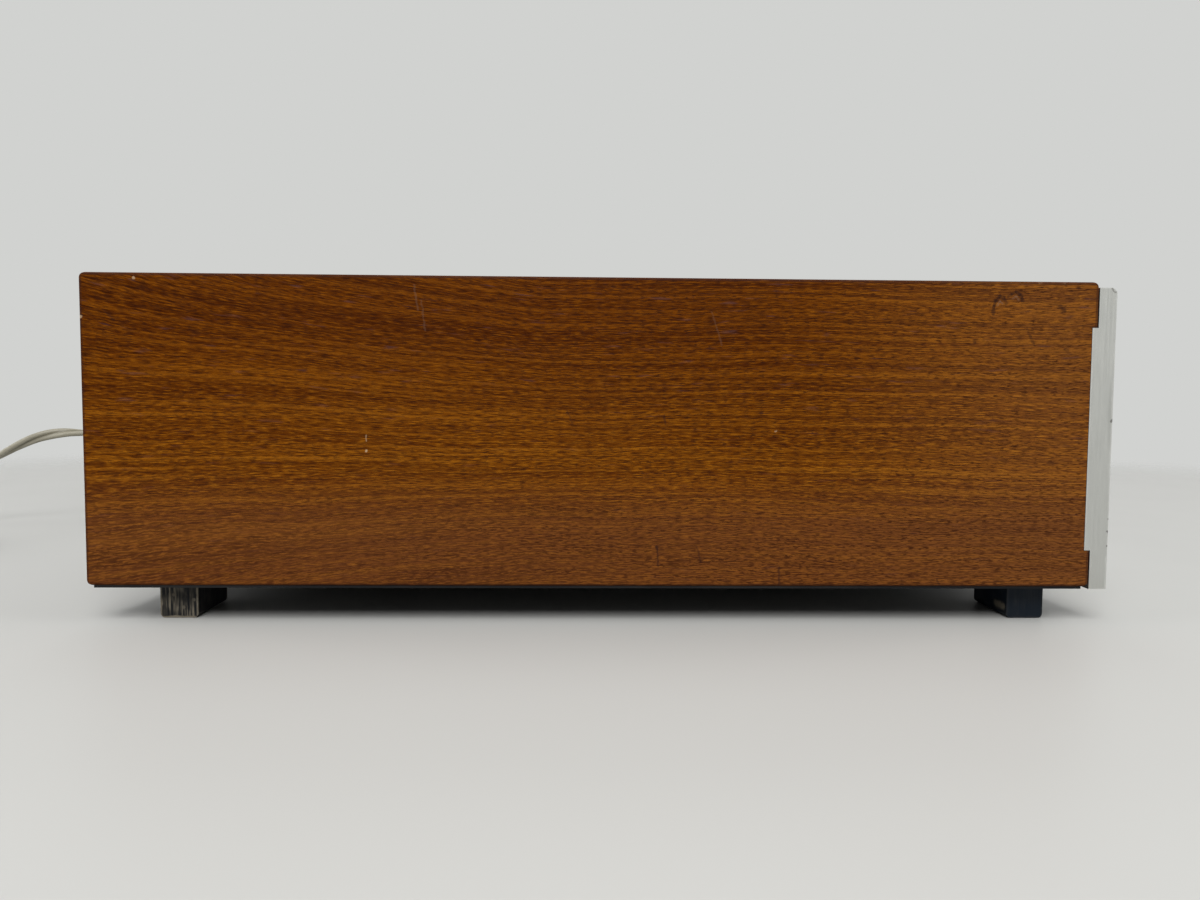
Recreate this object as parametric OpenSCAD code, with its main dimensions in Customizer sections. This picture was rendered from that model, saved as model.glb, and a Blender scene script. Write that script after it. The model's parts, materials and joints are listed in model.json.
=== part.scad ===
// Slim stereo amplifier in a veneered wooden cabinet, with a thick aluminium front panel.
// The front faces -Y, the sockets face +Y, and the feet stand on Z = 0.

/* [Cabinet] */
// Width over the side boards
cabinet_w = 430; // [400:1:480]
// Depth of the boards, front edge to rear edge
cabinet_d = 340; // [325:1:400]
// Height from the underside of the bottom plate to the top
cabinet_h = 105; // [100:1:130]
// Thickness of the veneered boards
board_t = 12; // [10:0.5:16]
// Rounding of the board corners as seen from the side
corner_r = 2; // [0.5:0.1:4]
// Easing along the upper edges of the cabinet
edge_r = 1; // [0.4:0.1:2]
// Thickness of the steel bottom plate
plate_t = 0.8; // [0.6:0.1:1.5]
// How far the bottom plate stays back from the sides
plate_inset = 0.5; // [0.2:0.1:3]
// Square section of the cleats along the lower inner corners
cleat_s = 14; // [12:0.5:16]
// How far the rear panel lies inside the rear edge
rear_recess = 14; // [12:0.5:25]

/* [Feet] */
// Length of a foot across the cabinet
foot_l = 26; // [22:1:30]
// Width of a foot, front to rear
foot_w = 12.8; // [11:0.1:20]
// Height of a foot
foot_h = 12; // [10:0.5:20]
// How far a foot stays inside the cabinet's side
foot_inset = 8; // [4:0.5:10]
// Front edge of the boards to the front foot
front_foot_setback = 11.2; // [10.5:0.1:13]
// Rear edge of the boards to the rear foot
rear_foot_setback = 20.5; // [19:0.1:30]
// Diameter of the screw recess under a foot
recess_d = 7.2; // [6:0.1:8]
// Depth of the screw recess under a foot
recess_depth = 6; // [4:0.5:8]
// Rounding along the lower edges of a foot
foot_r = 1.5; // [0.5:0.1:3]

/* [Front panel] */
// Thickness of the panel at its upper and lower lips
panel_t = 6; // [4:0.1:9]
// Shadow gap between the lips and the boards
panel_gap = 0.5; // [0.2:0.1:1.5]
// How far the panel's top stays below the cabinet's top
panel_top_drop = 1.9; // [1:0.1:5]
// Depth of the side boards' notch that takes the panel's thick middle
key_depth = 1.7; // [1:0.1:4]
// Lower end of the notch above the cabinet's underside
key_low = 13.3; // [10:0.1:16]
// Upper end of the notch below the cabinet's top
key_top_drop = 15.3; // [14:0.1:18]
// Clearance of the panel in the notch
key_gap = 0.15; // [0.1:0.05:0.4]
// Chamfer along the panel's upper front edge
panel_chamfer = 1.4; // [0.5:0.1:2.5]
// Length of the pillars between the panel and the control bracket
pillar_len = 10; // [9:0.5:16]
// Width across the flats of a pillar
pillar_af = 8; // [6:0.5:10]
// Height of the pillars above and below the row of controls
pillar_rise = 28; // [22:0.5:30]

/* [Controls] */
// Diameter of the four smaller knobs
knob_d = 30; // [24:0.5:34]
// Length of the smaller knobs
knob_len = 14.5; // [12:0.1:16]
// Diameter of the volume knob
volume_knob_d = 46; // [36:0.5:50]
// Length of the volume knob
volume_knob_len = 16.7; // [16.2:0.1:22]
// Gap between a knob and the panel
knob_gap = 0.8; // [0.5:0.1:2]
// Solid metal at the front of a knob
knob_cap = 3; // [2:0.1:5]
// Flutes round a smaller knob
flute_count = 36; // [20:1:48]
// Radius of a flute
flute_r = 0.7; // [0.4:0.05:1]
// Plain skirt at the foot of a knob
knob_skirt = 2.5; // [1.5:0.1:4]
// Width of the pointer groove
pointer_w = 1.2; // [0.8:0.1:2]
// Depth of the pointer groove
pointer_depth = 0.6; // [0.3:0.1:1]
// Diameter of the control shafts
shaft_d = 6; // [4:0.5:6.5]
// Radial clearance of a shaft in its bush and in its knob
run_gap = 0.05; // [0.02:0.01:0.1]
// Diameter of the threaded bush of a control
bush_d = 9.5; // [8.5:0.5:11]
// Length of the bush that stands past its nut
bush_proud = 1.5; // [0.5:0.1:3]
// Diameter of a potentiometer
control_d = 24; // [20:0.5:28]
// Length of a potentiometer behind the bracket
control_len = 20; // [16:0.5:26]
// Diameter of the selector's wafers
wafer_d = 32; // [28:0.5:36]
// Length of the selector behind the bracket
selector_len = 30; // [24:0.5:40]
// Width across the flats of a control's nut
nut_af = 13; // [12:0.5:15]
// Thickness of a control's nut
nut_t = 2.6; // [2:0.1:4]
// Radial clearance of holes round fixed bushes
hole_gap = 0.15; // [0.1:0.05:0.4]
// Radial clearance round a turning shaft in the front panel
shaft_hole_gap = 2; // [0.5:0.1:3]

/* [Buttons] */
// Width of a push button
button_w = 14; // [10:0.5:15]
// Height of a push button
button_h = 8; // [6:0.5:12]
// How far a push button stands out of the panel
button_out = 7; // [6:0.1:9]
// Distance between push buttons
button_pitch = 20; // [17:0.5:22]
// Travel of the buttons
button_travel = 4; // [2:0.1:5]
// Clearance round a button in its hole
button_gap = 0.4; // [0.3:0.05:0.8]
// Length of a button's head
button_len = 11; // [10:0.1:12]
// Chamfer round a button's front
button_chamfer = 0.7; // [0.3:0.1:1.2]
// Width of the plunger behind a button
plunger_w = 6; // [4:0.5:8]
// Height of the plunger behind a button
plunger_h = 3; // [2:0.5:4]
// How far a plunger reaches into its switch
plunger_in = 14; // [10:0.5:16]
// Clearance round a plunger
plunger_gap = 0.3; // [0.3:0.05:0.6]
// Wall of a switch housing round its plunger pockets
switch_wall = 6; // [4:0.5:7]
// Width of the power button
power_w = 18; // [14:0.5:20]
// Height of the power button
power_h = 12; // [9:0.5:14]

/* [Power column] */
// Edge of the panel to the first and last control
row_margin = 20; // [18:0.5:24]
// Height of the power button above the row of controls
power_rise = 8; // [6:0.5:10]
// Height of the pilot lamp above the row of controls
pilot_rise = 29; // [27:0.5:30]
// Diameter of the pilot lamp's lens
lens_d = 6; // [5:0.5:7]
// Drop of the headphone socket below the row of controls
phones_drop = 22; // [20:0.5:24]
// Bore of the headphone socket
phones_bore = 6.4; // [6.35:0.05:6.5]
// Outside of the headphone socket's bush
phones_bush = 9.5; // [9:0.5:11]
// Diameter of the ring round the headphone socket
phones_ring_d = 15; // [13:0.5:18]
// Thickness of the ring round the headphone socket
phones_ring_t = 2; // [1.5:0.1:3]
// Side of the headphone socket's body
phones_body = 15; // [13:0.5:18]
// Depth of the headphone socket's body behind the bracket
phones_body_len = 22; // [18:0.5:28]

/* [Chassis] */
// Thickness of the steel chassis parts
sheet_t = 1.2; // [1:0.1:2]
// Clearance between the chassis and the wood
chassis_gap = 1; // [0.5:0.1:2]
// Height of the tray's upturned edges
tray_edge = 13; // [10:0.5:16]
// Depth of the bracket's foot on the tray
bracket_foot = 16; // [15:0.5:20]
// Length of the vent slots
vent_l = 36; // [24:1:40]
// Width of the vent slots
vent_w = 3; // [2:0.5:4]
// Distance between vent slots
vent_pitch = 8; // [6:0.5:9]
// Slots in a vent field
vent_count = 9; // [5:1:10]

/* [Power supply] */
// Width of the transformer's laminations
core_w = 84; // [70:1:88]
// Height of the transformer's laminations
core_h = 70; // [60:1:72]
// Stack of the transformer's laminations
core_stack = 42; // [34:1:48]
// Width of the transformer's centre leg
core_leg = 28; // [24:0.5:30]
// Width of the core's outer legs and yokes
core_yoke = 14; // [11:0.5:14]
// Clearance of the winding in the core
winding_gap = 0.4; // [0.3:0.1:1]
// Thickness of the clamp round the core
clamp_t = 1.5; // [1:0.1:2]
// Length of the clamp's feet
clamp_foot = 12; // [10:0.5:16]
// Diameter of the reservoir capacitors
can_d = 35; // [30:0.5:36]
// Height of the reservoir capacitors
can_h = 60; // [45:1:62]

/* [Amplifier] */
// Width of the main board
board_w = 180; // [150:1:190]
// Depth of the main board
board_d = 130; // [110:1:140]
// Width of the tone board
tone_w = 160; // [130:1:180]
// Depth of the tone board
tone_d = 55; // [48:1:62]
// Thickness of the circuit boards
pcb_t = 1.6; // [1:0.1:2.4]
// Height of the pillars under the boards
standoff_h = 8; // [6:0.5:10]
// Diameter of the pillars under the boards
standoff_d = 6; // [5:0.5:8]
// Edge of a board to its pillars
standoff_edge = 6; // [5:0.5:8]
// Width of the heat sink
sink_w = 120; // [100:1:130]
// Height of the heat sink
sink_h = 60; // [45:1:64]
// Depth of the heat sink over its fins
sink_d = 30; // [20:1:34]
// Thickness of the heat sink's back
sink_back = 5; // [4:0.5:7]
// Thickness of a fin
fin_t = 2; // [1.5:0.1:3]
// Number of fins
fin_count = 13; // [9:1:15]
// Distance between the two transistors of a channel
transistor_pitch = 30; // [28:0.5:32]

/* [Sockets] */
// Width of the plate that carries the input sockets
socket_plate_w = 110; // [105:1:118]
// Height of the plate that carries the input sockets
socket_plate_h = 46; // [44:0.5:56]
// Thickness of the plate that carries the input sockets
socket_plate_t = 1.6; // [1:0.1:2.4]
// Distance between columns of input sockets
socket_pitch = 24; // [20:0.5:25]
// Distance between rows of input sockets
socket_row = 20; // [17:0.5:22]
// Diameter of an input socket's sleeve
sleeve_d = 8.3; // [8:0.1:8.5]
// Length of an input socket's sleeve
sleeve_len = 9; // [7:0.1:9.5]
// Centre hole of an input socket
sleeve_bore = 3.3; // [3.2:0.1:3.6]
// Width of the speaker terminal strip
strip_w = 92; // [84:1:96]
// Height of the speaker terminal strip
strip_h = 20; // [18:0.5:24]
// Depth of the speaker strip's floor
strip_floor = 5; // [4:0.5:6]
// Depth of the speaker strip's barriers
strip_barrier = 10; // [9:0.5:12]
// Gap between groups on the rear panel
rear_gap = 18; // [14:0.5:19]

/* [Mains lead] */
// Breadth of the flat twin flex
flex_w = 6; // [5:0.1:7]
// Height of the lead's outlet above the floor
outlet_z = 48; // [40:0.5:56]
// Diameter of the strain relief at the panel
relief_d = 12; // [11:0.5:16]
// Diameter of the strain relief at its tip
relief_tip_d = 8.4; // [7.6:0.1:10]
// Length of the strain relief outside the panel
relief_len = 25; // [20:0.5:40]
// Length of the plug's body
plug_len = 36; // [30:0.5:44]
// Width of the plug's face
plug_w = 35.3; // [32:0.1:38]
// Thickness of the plug's face
plug_t = 13.7; // [12:0.1:13.7]
// Diameter of a plug pin
plug_pin_d = 4; // [3.5:0.1:4.8]
// Length of a plug pin
plug_pin_len = 19; // [17:0.1:20]
// Distance between the plug pins
plug_pin_pitch = 18.6; // [17:0.1:19]

/* [Hidden] */
$fn = 48;
eps = 0.01;

// Cabinet, front to rear and floor to top
front_reach = panel_gap + panel_t + knob_gap + volume_knob_len;
overall_d = front_reach + cabinet_d;
y_front = front_reach - overall_d / 2;
y_rear = y_front + cabinet_d;
x_side = cabinet_w / 2;
x_inner = x_side - board_t;
z_low = foot_h;
z_wood = z_low + plate_t;
z_top = z_low + cabinet_h;
z_ceiling = z_top - board_t;

// Front panel and control bracket
y_lip = y_front - panel_gap;
y_face = y_lip - panel_t;
y_key = y_front + key_depth - key_gap;
panel_depth = y_key - y_face;
z_panel = z_top - panel_top_drop;
z_key_low = z_low + key_low;
z_key_top = z_top - key_top_drop;
z_row = (z_low + z_panel) / 2;
y_bracket = y_key + pillar_len;
y_behind = y_bracket + sheet_t;

// Row of controls, spread over the panel with equal gaps
column_w = power_w + 2;
bank_w = 3 * button_pitch + button_w;
row_w = [column_w, knob_d, knob_d, knob_d, bank_w, knob_d, volume_knob_d];
row_gap = (cabinet_w - 2 * row_margin - total(row_w)) / (len(row_w) - 1);
column_x = row_x(0);
bass_x = row_x(1);
treble_x = row_x(2);
balance_x = row_x(3);
bank_x = row_x(4);
selector_x = row_x(5);
volume_x = row_x(6);
button_x = [for (i = [0 : 3]) bank_x + (i - 1.5) * button_pitch];
pillar_x = [(column_x + bass_x) / 2, (selector_x + volume_x) / 2];
z_power = z_row + power_rise;
z_pilot = z_row + pilot_rise;
z_phones = z_row - phones_drop;
volume_flutes = round(flute_count * volume_knob_d / knob_d);
volume_rest = -150;
knob_step = 1;
knob_bevel = 1.2;
knob_rim = 1.4;
knob_dish = 0.7;
shaft_end = 4;
shaft_float = 0.5;
wafer_t = 1.6;
lug_w = 2;
lug_len = 4;
lug_pitch = 5;
detent_t = 4;
rod_r = 1.2;
rod_edge = 3;
switch_back = 8;
bank_slit = 2;
bank_front = 4;
lens_rim = 1;
lens_dome = 0.8;
phones_floor = 4;
ring_bevel = 0.6;

vent_span = (vent_count - 1) * vent_pitch;

// Chassis
y_outer = y_rear - rear_recess;
y_inner = y_outer - sheet_t;
x_tray = x_inner - cleat_s - chassis_gap;
z_tray = z_wood + sheet_t;
z_step = z_wood + cleat_s + chassis_gap;
z_roof = z_ceiling - chassis_gap;
board_side = 12;
sink_room = 10;
sink_gap = 3;
tone_room = 16;
core_side = 6;
core_room = 16;
can_edge = 12;
can_gap = 5;
can_bead = 5;
can_rim = 1;
clamp_margin = 3;
transistor_r = 11;
transistor_h = 8.5;
flange_r = 13;
ear_r = 4;
ear_reach = 15;
y_sink = y_inner - sheet_t - sink_room;
x_board = -x_tray + sheet_t + board_side;
y_board = y_sink - sink_d - sink_gap - board_d;
z_board = z_tray + standoff_h;
y_tone = y_behind + bracket_foot + tone_room;
x_tone = treble_x - tone_w / 2;
core_x = x_tray - sheet_t - core_side - clamp_foot - clamp_t - core_w / 2;
window_w = (core_w - core_leg) / 2 - core_yoke;
winding_d = core_stack + 2 * window_w;
core_y = y_inner - sheet_t - core_room - winding_d / 2;
can_x = x_board + board_w - can_d / 2 - can_edge;
can_step = can_d + can_gap;
flange_t = 2;
main_posts = corners(x_board, y_board, board_w, board_d);
tone_posts = corners(x_tone, y_tone, tone_w, tone_d);
vent_x = [x_board + board_side + vent_span / 2, x_board + board_w - board_side - vent_span / 2, core_x];
vent_y = y_board + board_d / 2;

// Rear panel, laid out from the left as seen from the front
rear_margin = 10;
vent_drop = 8;
strip_rise = 6;
plate_x = -x_inner + rear_margin + socket_plate_w / 2;
strip_x = plate_x + socket_plate_w / 2 + rear_gap + strip_w / 2;
outlet_x = strip_x + strip_w / 2 + rear_gap + relief_d / 2;
z_sockets = (z_wood + z_ceiling) / 2;
z_strip = z_wood + tray_edge + strip_rise + strip_h / 2;
z_rear_vent = z_ceiling - vent_drop - vent_l / 2;
relief_step = 1.5;
relief_collar = 3;
groove_pitch = 4;
groove_depth = 0.7;
plate_lap = 5;
stem_r = 2.5;
socket_flange_t = 1.2;
barrier_t = 2;
tongue_edge = 10;
tongue_behind = 4;
tongue_h = 6;
stem_behind = 5;
socket_flange_w = 1.5;
sleeve_bevel = 0.5;

// Feet
foot_x = x_side - foot_inset - foot_l / 2;
front_foot_y = y_front + front_foot_setback + foot_w / 2;
rear_foot_y = y_rear - rear_foot_setback - foot_w / 2;
foot_y = [front_foot_y, rear_foot_y];

// Fasteners: machine screws for the chassis and wood screws for the feet
screw_r = 1.5;
screw_head_r = 3;
screw_head_t = 2;
screw_bite = 4;
wood_screw_r = 1.75;
wood_screw_head_r = 3.2;
wood_screw_head_t = 2.4;
head_slot = 0.8;
screw_gap = 0.2;
cleat_skin = 3;
bolt_edge = 8;
bolt_room = 24;
rear_screw_edge = 14;
bolt_y = [y_behind + bracket_foot + bolt_edge, y_inner - bolt_room];

// Flat twin flex: two round cores side by side, joined by a web
core_r = flex_w / 4;
web_t = core_r * 1.3;
lobe_steps = [90, 30, -30, -90];
flex_section = concat(
    [[0, web_t / 2]],
    [for (a = lobe_steps) core_r * [1 + cos(a), sin(a)]],
    [[0, -web_t / 2]],
    [for (a = lobe_steps) core_r * [-1 - cos(a), -sin(a)]]
);

// Route of the free flex from the strain relief to the coil, with its twist at each point
lead_route = [
    [51, 193, 48], [51, 200, 48], [50.5, 212, 48], [49.5, 224, 48.2], [48, 236, 48.6],
    [46.5, 248, 49.2], [44.5, 260, 49.9], [42.5, 272, 50.7], [40, 284, 51.5], [37, 296, 52.2],
    [34.5, 306, 52.8], [32, 315, 53.2], [30, 324, 53.4], [27.5, 332.5, 52.3], [25, 340.5, 49.8],
    [22.5, 349, 45.4], [20, 357.5, 40.1], [16.5, 366, 34.6], [11, 375, 28.6], [3.5, 383, 22.4],
    [-6, 390, 16.6], [-18, 396, 11.6], [-31, 399.8, 7.8], [-44, 401.5, 5.4], [-57, 402, 4.3],
    [-66, 402, 4.1], [-72, 402, 4.1]
];
lead_roll = [
    0, 0, 0, 0, -5, -10, -15, -20, -20, -15, -5, 10, 45, 88, 115, 142, 165, 180, 190, 200, 215,
    230, 245, 257, 266, 270, 270
];

// Coil of the length that is put away, in two layers of flex standing on edge
coil_x = -78;
coil_y = 362.35;
coil_inner_r = 26;
coil_step = 3.9;
coil_layer = 6.9;
coil_turns = 7;
coil_rings = 24;
tie_t = 1;
tie_w = 4;
tie_gap = 0.5;
coil_z = tie_t + 0.1 + flex_w / 2;
coil_end = coil_turns * coil_rings;
tail_route = [
    [-84, 402, 11], [-90, 402, 11], [-100, 402, 10.4], [-112, 402, 9.1], [-124, 402, 7.8],
    [-134, 402, 7], [-140, 402, 7]
];
tail_roll = [270, 270, 285, 305, 330, 355, 360];
coil_path = concat(
    [lead_route[len(lead_route) - 1]],
    [for (i = [0 : coil_end]) coil_point(i / coil_rings)],
    tail_route
);
coil_roll = concat([for (i = [0 : coil_end + 1]) 270], tail_roll);
plug_place = tail_route[len(tail_route) - 1];
plug_neck_d = 10;
plug_tip_d = 8.6;
plug_neck_len = 9;
plug_step = 0.6;
plug_head_len = 12;
plug_flat_len = 20;
plug_bevel = 1.2;
plug_rings = 3;
ring_pitch = 2.4;
ring_w = 1;
ring_depth = 0.8;
grips = 3;
grip_pitch = 3.2;
grip_r = 1;
grip_depth = 0.5;
pin_taper = 0.7;

function total(list, i = 0) = i == len(list) ? 0 : list[i] + total(list, i + 1);
function row_x(i) =
    -x_side + row_margin + total([for (k = [0 : 1 : i - 1]) row_w[k] + row_gap]) + row_w[i] / 2;
function unit(v) = v / norm(v);
function both_sides(half) =
    concat(half, [for (i = [len(half) - 1 : -1 : 0]) [half[i][0], -half[i][1]]]);
function corners(x, y, w, d) = [for (i = [0, 1], j = [0, 1])
    [x + (i ? w - standoff_edge : standoff_edge), y + (j ? d - standoff_edge : standoff_edge)]];
function coil_climb(u) = min(1, max(0, (u - coil_turns / 2) * 2 + 0.5));
function coil_radius(u) = coil_inner_r + coil_step * abs(u - coil_turns / 2);
function coil_point(u) = [
    coil_x + coil_radius(u) * cos(90 + 360 * u),
    coil_y + coil_radius(u) * sin(90 + 360 * u),
    coil_z + coil_layer * coil_climb(u)
];
function heading(path, i) = unit(path[min(i + 1, len(path) - 1)] - path[max(i - 1, 0)]);
function across(path, i, roll) =
    let (side = unit(cross(heading(path, i), [0, 0, 1])))
    cos(roll) * side + sin(roll) * cross(side, heading(path, i));
function ring(path, i, roll) =
    let (wide = across(path, i, roll), thin = cross(heading(path, i), wide))
    [for (q = flex_section) path[i] + q[0] * wide + q[1] * thin];

// Centres of the two cores along the coil, and the least gap between turns
core_lines = [for (i = [0 : len(coil_path) - 1], s = [-1, 1])
    coil_path[i] + s * core_r * across(coil_path, i, coil_roll[i])];
coil_gap = min([for (i = [0 : len(core_lines) - 1], j = [i + coil_rings : 1 : len(core_lines) - 1])
    norm(core_lines[i] - core_lines[j])]) - 2 * core_r;
echo(coil_least_gap = coil_gap);

// Box between two corners
module block(low, high) {
    translate(low) cube(high - low);
}

// Stands a shape's own Z axis towards the front
module facing_front(x, y, z) {
    translate([x, y, z]) rotate([90, 0, 0]) children();
}

// Stands a shape's own Z axis towards the rear
module facing_rear(x, y, z) {
    translate([x, y, z]) rotate([-90, 0, 0]) children();
}

// Extrudes an outline drawn in X and Z from y0 to y1
module front_outline(y0, y1) {
    translate([0, y1, 0]) rotate([90, 0, 0]) linear_extrude(y1 - y0) children();
}

// Extrudes an outline drawn in Y and Z from x0 to x1
module side_outline(x0, x1) {
    translate([x0, 0, 0]) rotate([90, 0, 90]) linear_extrude(x1 - x0) children();
}

// Rectangle with round corners
module rounded(low, high, r) {
    difference() {
        translate(low) square(high - low);
        for (i = [0, 1], j = [0, 1])
            translate([i ? high[0] : low[0], j ? high[1] : low[1]]) difference() {
                square(2 * r, center = true);
                translate([i ? -r : r, j ? -r : r]) circle(r);
            }
    }
}

// Slot with round ends, standing upright
module slot(l, w) {
    square([w, l - w], center = true);
    translate([0, l / 2 - w / 2]) circle(w / 2);
    translate([0, w / 2 - l / 2]) circle(w / 2);
}

// Row of upright vent slots
module vent_field() {
    for (i = [0 : vent_count - 1])
        translate([(i - (vent_count - 1) / 2) * vent_pitch, 0]) slot(vent_l, vent_w);
}

// Slotted screw with its seat at Z = 0, its head below and its shank along +Z
module screw(head_r, head_t, r, shank) {
    difference() {
        rotate_extrude() polygon([
            [0, -head_t], [head_r - head_t / 2, -head_t], [head_r, -head_t / 2], [head_r, 0],
            [r, 0], [r, shank], [0, shank]
        ]);
        translate([-head_r, -head_slot / 2, -head_t - 1]) cube([2 * head_r, head_slot, head_t / 2 + 1]);
    }
}

module machine_screw(grip) {
    screw(screw_head_r, screw_head_t, screw_r, grip + screw_bite);
}

// Hole for a screw that stands at Z = 0, from its head on
module screw_hole(r, depth) {
    translate([0, 0, -1]) cylinder(r = r, h = depth + 1);
}

module pillar_places() {
    for (x = pillar_x, z = [z_row - pillar_rise, z_row + pillar_rise])
        facing_front(x, y_behind, z) children();
}

module board_places() {
    for (p = concat(main_posts, tone_posts))
        translate([p[0], p[1], z_board + pcb_t]) rotate([180, 0, 0]) children();
}

module clamp_places() {
    for (sx = [-1, 1])
        translate([core_x + sx * (core_w / 2 + clamp_t + clamp_foot / 2), core_y, z_tray + clamp_t])
            rotate([180, 0, 0]) children();
}

module tray_places() {
    for (sx = [-1, 1], y = bolt_y) translate([sx * (x_tray - bolt_edge), y, z_low]) children();
}

module rear_places() {
    for (i = [-1 : 2 / 3 : 1])
        facing_front(i * (x_tray - rear_screw_edge), y_outer, z_wood + (tray_edge + sheet_t) / 2) children();
}

module terminal_places() {
    for (i = [-1.5 : 1.5])
        facing_front(strip_x + i * (strip_w - barrier_t) / 4, y_outer + strip_floor, z_strip) children();
}

module foot_places() {
    for (sx = [-1, 1], y = foot_y) translate([sx * foot_x, y, recess_depth]) children();
}

module foot_screws() {
    shank = z_wood + cleat_s - cleat_skin - recess_depth - screw_gap;
    color("dimgray") foot_places() screw(wood_screw_head_r, wood_screw_head_t, wood_screw_r, shank);
}

module chassis_screws() {
    color("lightgray") {
        pillar_places() machine_screw(sheet_t);
        board_places() machine_screw(pcb_t);
        clamp_places() screw(screw_head_r, screw_head_t, screw_r, clamp_t + sheet_t - screw_gap);
        tray_places() machine_screw(plate_t);
        rear_places() machine_screw(sheet_t);
        terminal_places() screw(screw_head_r, screw_head_t, screw_r, strip_floor);
    }
}

// Cabinet
module cabinet_form() {
    intersection() {
        side_outline(-x_side, x_side) rounded([y_front, z_wood], [y_rear, z_top], corner_r);
        front_outline(y_front, y_rear) rounded([-x_side, z_wood], [x_side, z_top], edge_r);
    }
}

module side_board() {
    color("sienna") difference() {
        intersection() {
            cabinet_form();
            front_outline(y_front, y_rear) polygon([
                [-x_side, z_wood], [-x_inner, z_wood], [-x_inner, z_ceiling], [-x_side, z_top]
            ]);
        }
        block([-x_side - 1, y_front - 1, z_key_low], [-x_inner + 1, y_front + key_depth, z_key_top]);
    }
}

module top_board() {
    color("sienna") intersection() {
        cabinet_form();
        front_outline(y_front, y_rear) polygon([
            [-x_side, z_top], [-x_inner, z_ceiling], [x_inner, z_ceiling], [x_side, z_top]
        ]);
    }
}

module vents_below() {
    for (x = vent_x)
        translate([x, vent_y, z_low - 1]) linear_extrude(plate_t + sheet_t + 2) vent_field();
}

module bottom_plate() {
    color("darkslategray") difference() {
        block([plate_inset - x_side, y_front + corner_r, z_low],
              [x_side - plate_inset, y_rear - corner_r, z_wood]);
        vents_below();
        foot_places() screw_hole(wood_screw_r + screw_gap, z_wood - recess_depth + 1);
        tray_places() screw_hole(screw_r + screw_gap, plate_t + 1);
    }
}

module side_cleats() {
    color("burlywood") difference() {
        for (side = [0, 1]) mirror([side, 0, 0])
            block([x_inner - cleat_s, y_front + corner_r + key_depth, z_wood],
                  [x_inner, y_inner, z_wood + cleat_s]);
        foot_places() screw_hole(wood_screw_r + run_gap, z_wood + cleat_s - cleat_skin - recess_depth);
    }
}

// Feet
module foot(sx, y) {
    color("black") difference() {
        intersection() {
            side_outline(sx * foot_x - foot_l / 2, sx * foot_x + foot_l / 2)
                rounded([y - foot_w / 2, 0], [y + foot_w / 2, foot_h + 2 * foot_r], foot_r);
            block([-x_side, y - foot_w, 0], [x_side, y + foot_w, foot_h]);
        }
        translate([sx * foot_x, y, -1]) cylinder(d = recess_d, h = recess_depth + 1);
        foot_places() screw_hole(wood_screw_r + screw_gap, foot_h);
    }
}

// Front panel and what stands behind it
module front_panel() {
    color("silver") difference() {
        side_outline(-x_side, x_side) polygon([
            [y_face, z_low], [y_lip, z_low],
            [y_lip, z_key_low + key_gap], [y_key, z_key_low + key_gap],
            [y_key, z_key_top - key_gap], [y_lip, z_key_top - key_gap],
            [y_lip, z_panel], [y_face + panel_chamfer, z_panel], [y_face, z_panel - panel_chamfer]
        ]);
        for (x = [bass_x, treble_x, balance_x, selector_x, volume_x])
            facing_front(x, y_key + 1, z_row) cylinder(d = shaft_d + 2 * shaft_hole_gap, h = panel_depth + 2);
        for (x = button_x) panel_window(x, z_row, button_w, button_h);
        panel_window(column_x, z_power, power_w, power_h);
        facing_front(column_x, y_key + 1, z_phones)
            cylinder(d = phones_bush + 2 * hole_gap, h = panel_depth + 2);
        facing_front(column_x, y_key + 1, z_pilot) cylinder(d = lens_d + 2 * hole_gap, h = panel_depth + 2);
    }
}

module panel_window(x, z, w, h) {
    block([x - w / 2 - button_gap, y_face - 1, z - h / 2 - button_gap],
          [x + w / 2 + button_gap, y_key + 1, z + h / 2 + button_gap]);
}

module panel_pillars() {
    color("gainsboro") difference() {
        pillar_places() translate([0, 0, sheet_t]) cylinder(d = pillar_af / cos(30), h = pillar_len, $fn = 6);
        pillar_places() screw_hole(screw_r + run_gap, sheet_t + screw_bite + screw_gap);
    }
}

module control_bracket() {
    color("lightgray") difference() {
        union() {
            block([chassis_gap - x_inner, y_bracket, z_step], [x_inner - chassis_gap, y_behind, z_roof]);
            block([-x_tray + sheet_t + chassis_gap, y_bracket, z_tray],
                  [x_tray - sheet_t - chassis_gap, y_behind, z_step + eps]);
            block([-x_tray + sheet_t + chassis_gap, y_bracket, z_tray],
                  [x_tray - sheet_t - chassis_gap, y_behind + bracket_foot, z_tray + sheet_t]);
        }
        for (x = [bass_x, treble_x, balance_x, selector_x, volume_x])
            facing_front(x, y_behind + 1, z_row) cylinder(d = bush_d + 2 * hole_gap, h = sheet_t + 2);
        for (x = button_x) bracket_window(x, z_row);
        bracket_window(column_x, z_power);
        facing_front(column_x, y_behind + 1, z_phones)
            cylinder(d = phones_bush + 2 * hole_gap, h = sheet_t + 2);
        pillar_places() screw_hole(screw_r + screw_gap, sheet_t + 1);
    }
}

module bracket_window(x, z) {
    block([x - plunger_w / 2 - plunger_gap, y_bracket - 1, z - plunger_h / 2 - plunger_gap],
          [x + plunger_w / 2 + plunger_gap, y_behind + 1, z + plunger_h / 2 + plunger_gap]);
}

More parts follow.
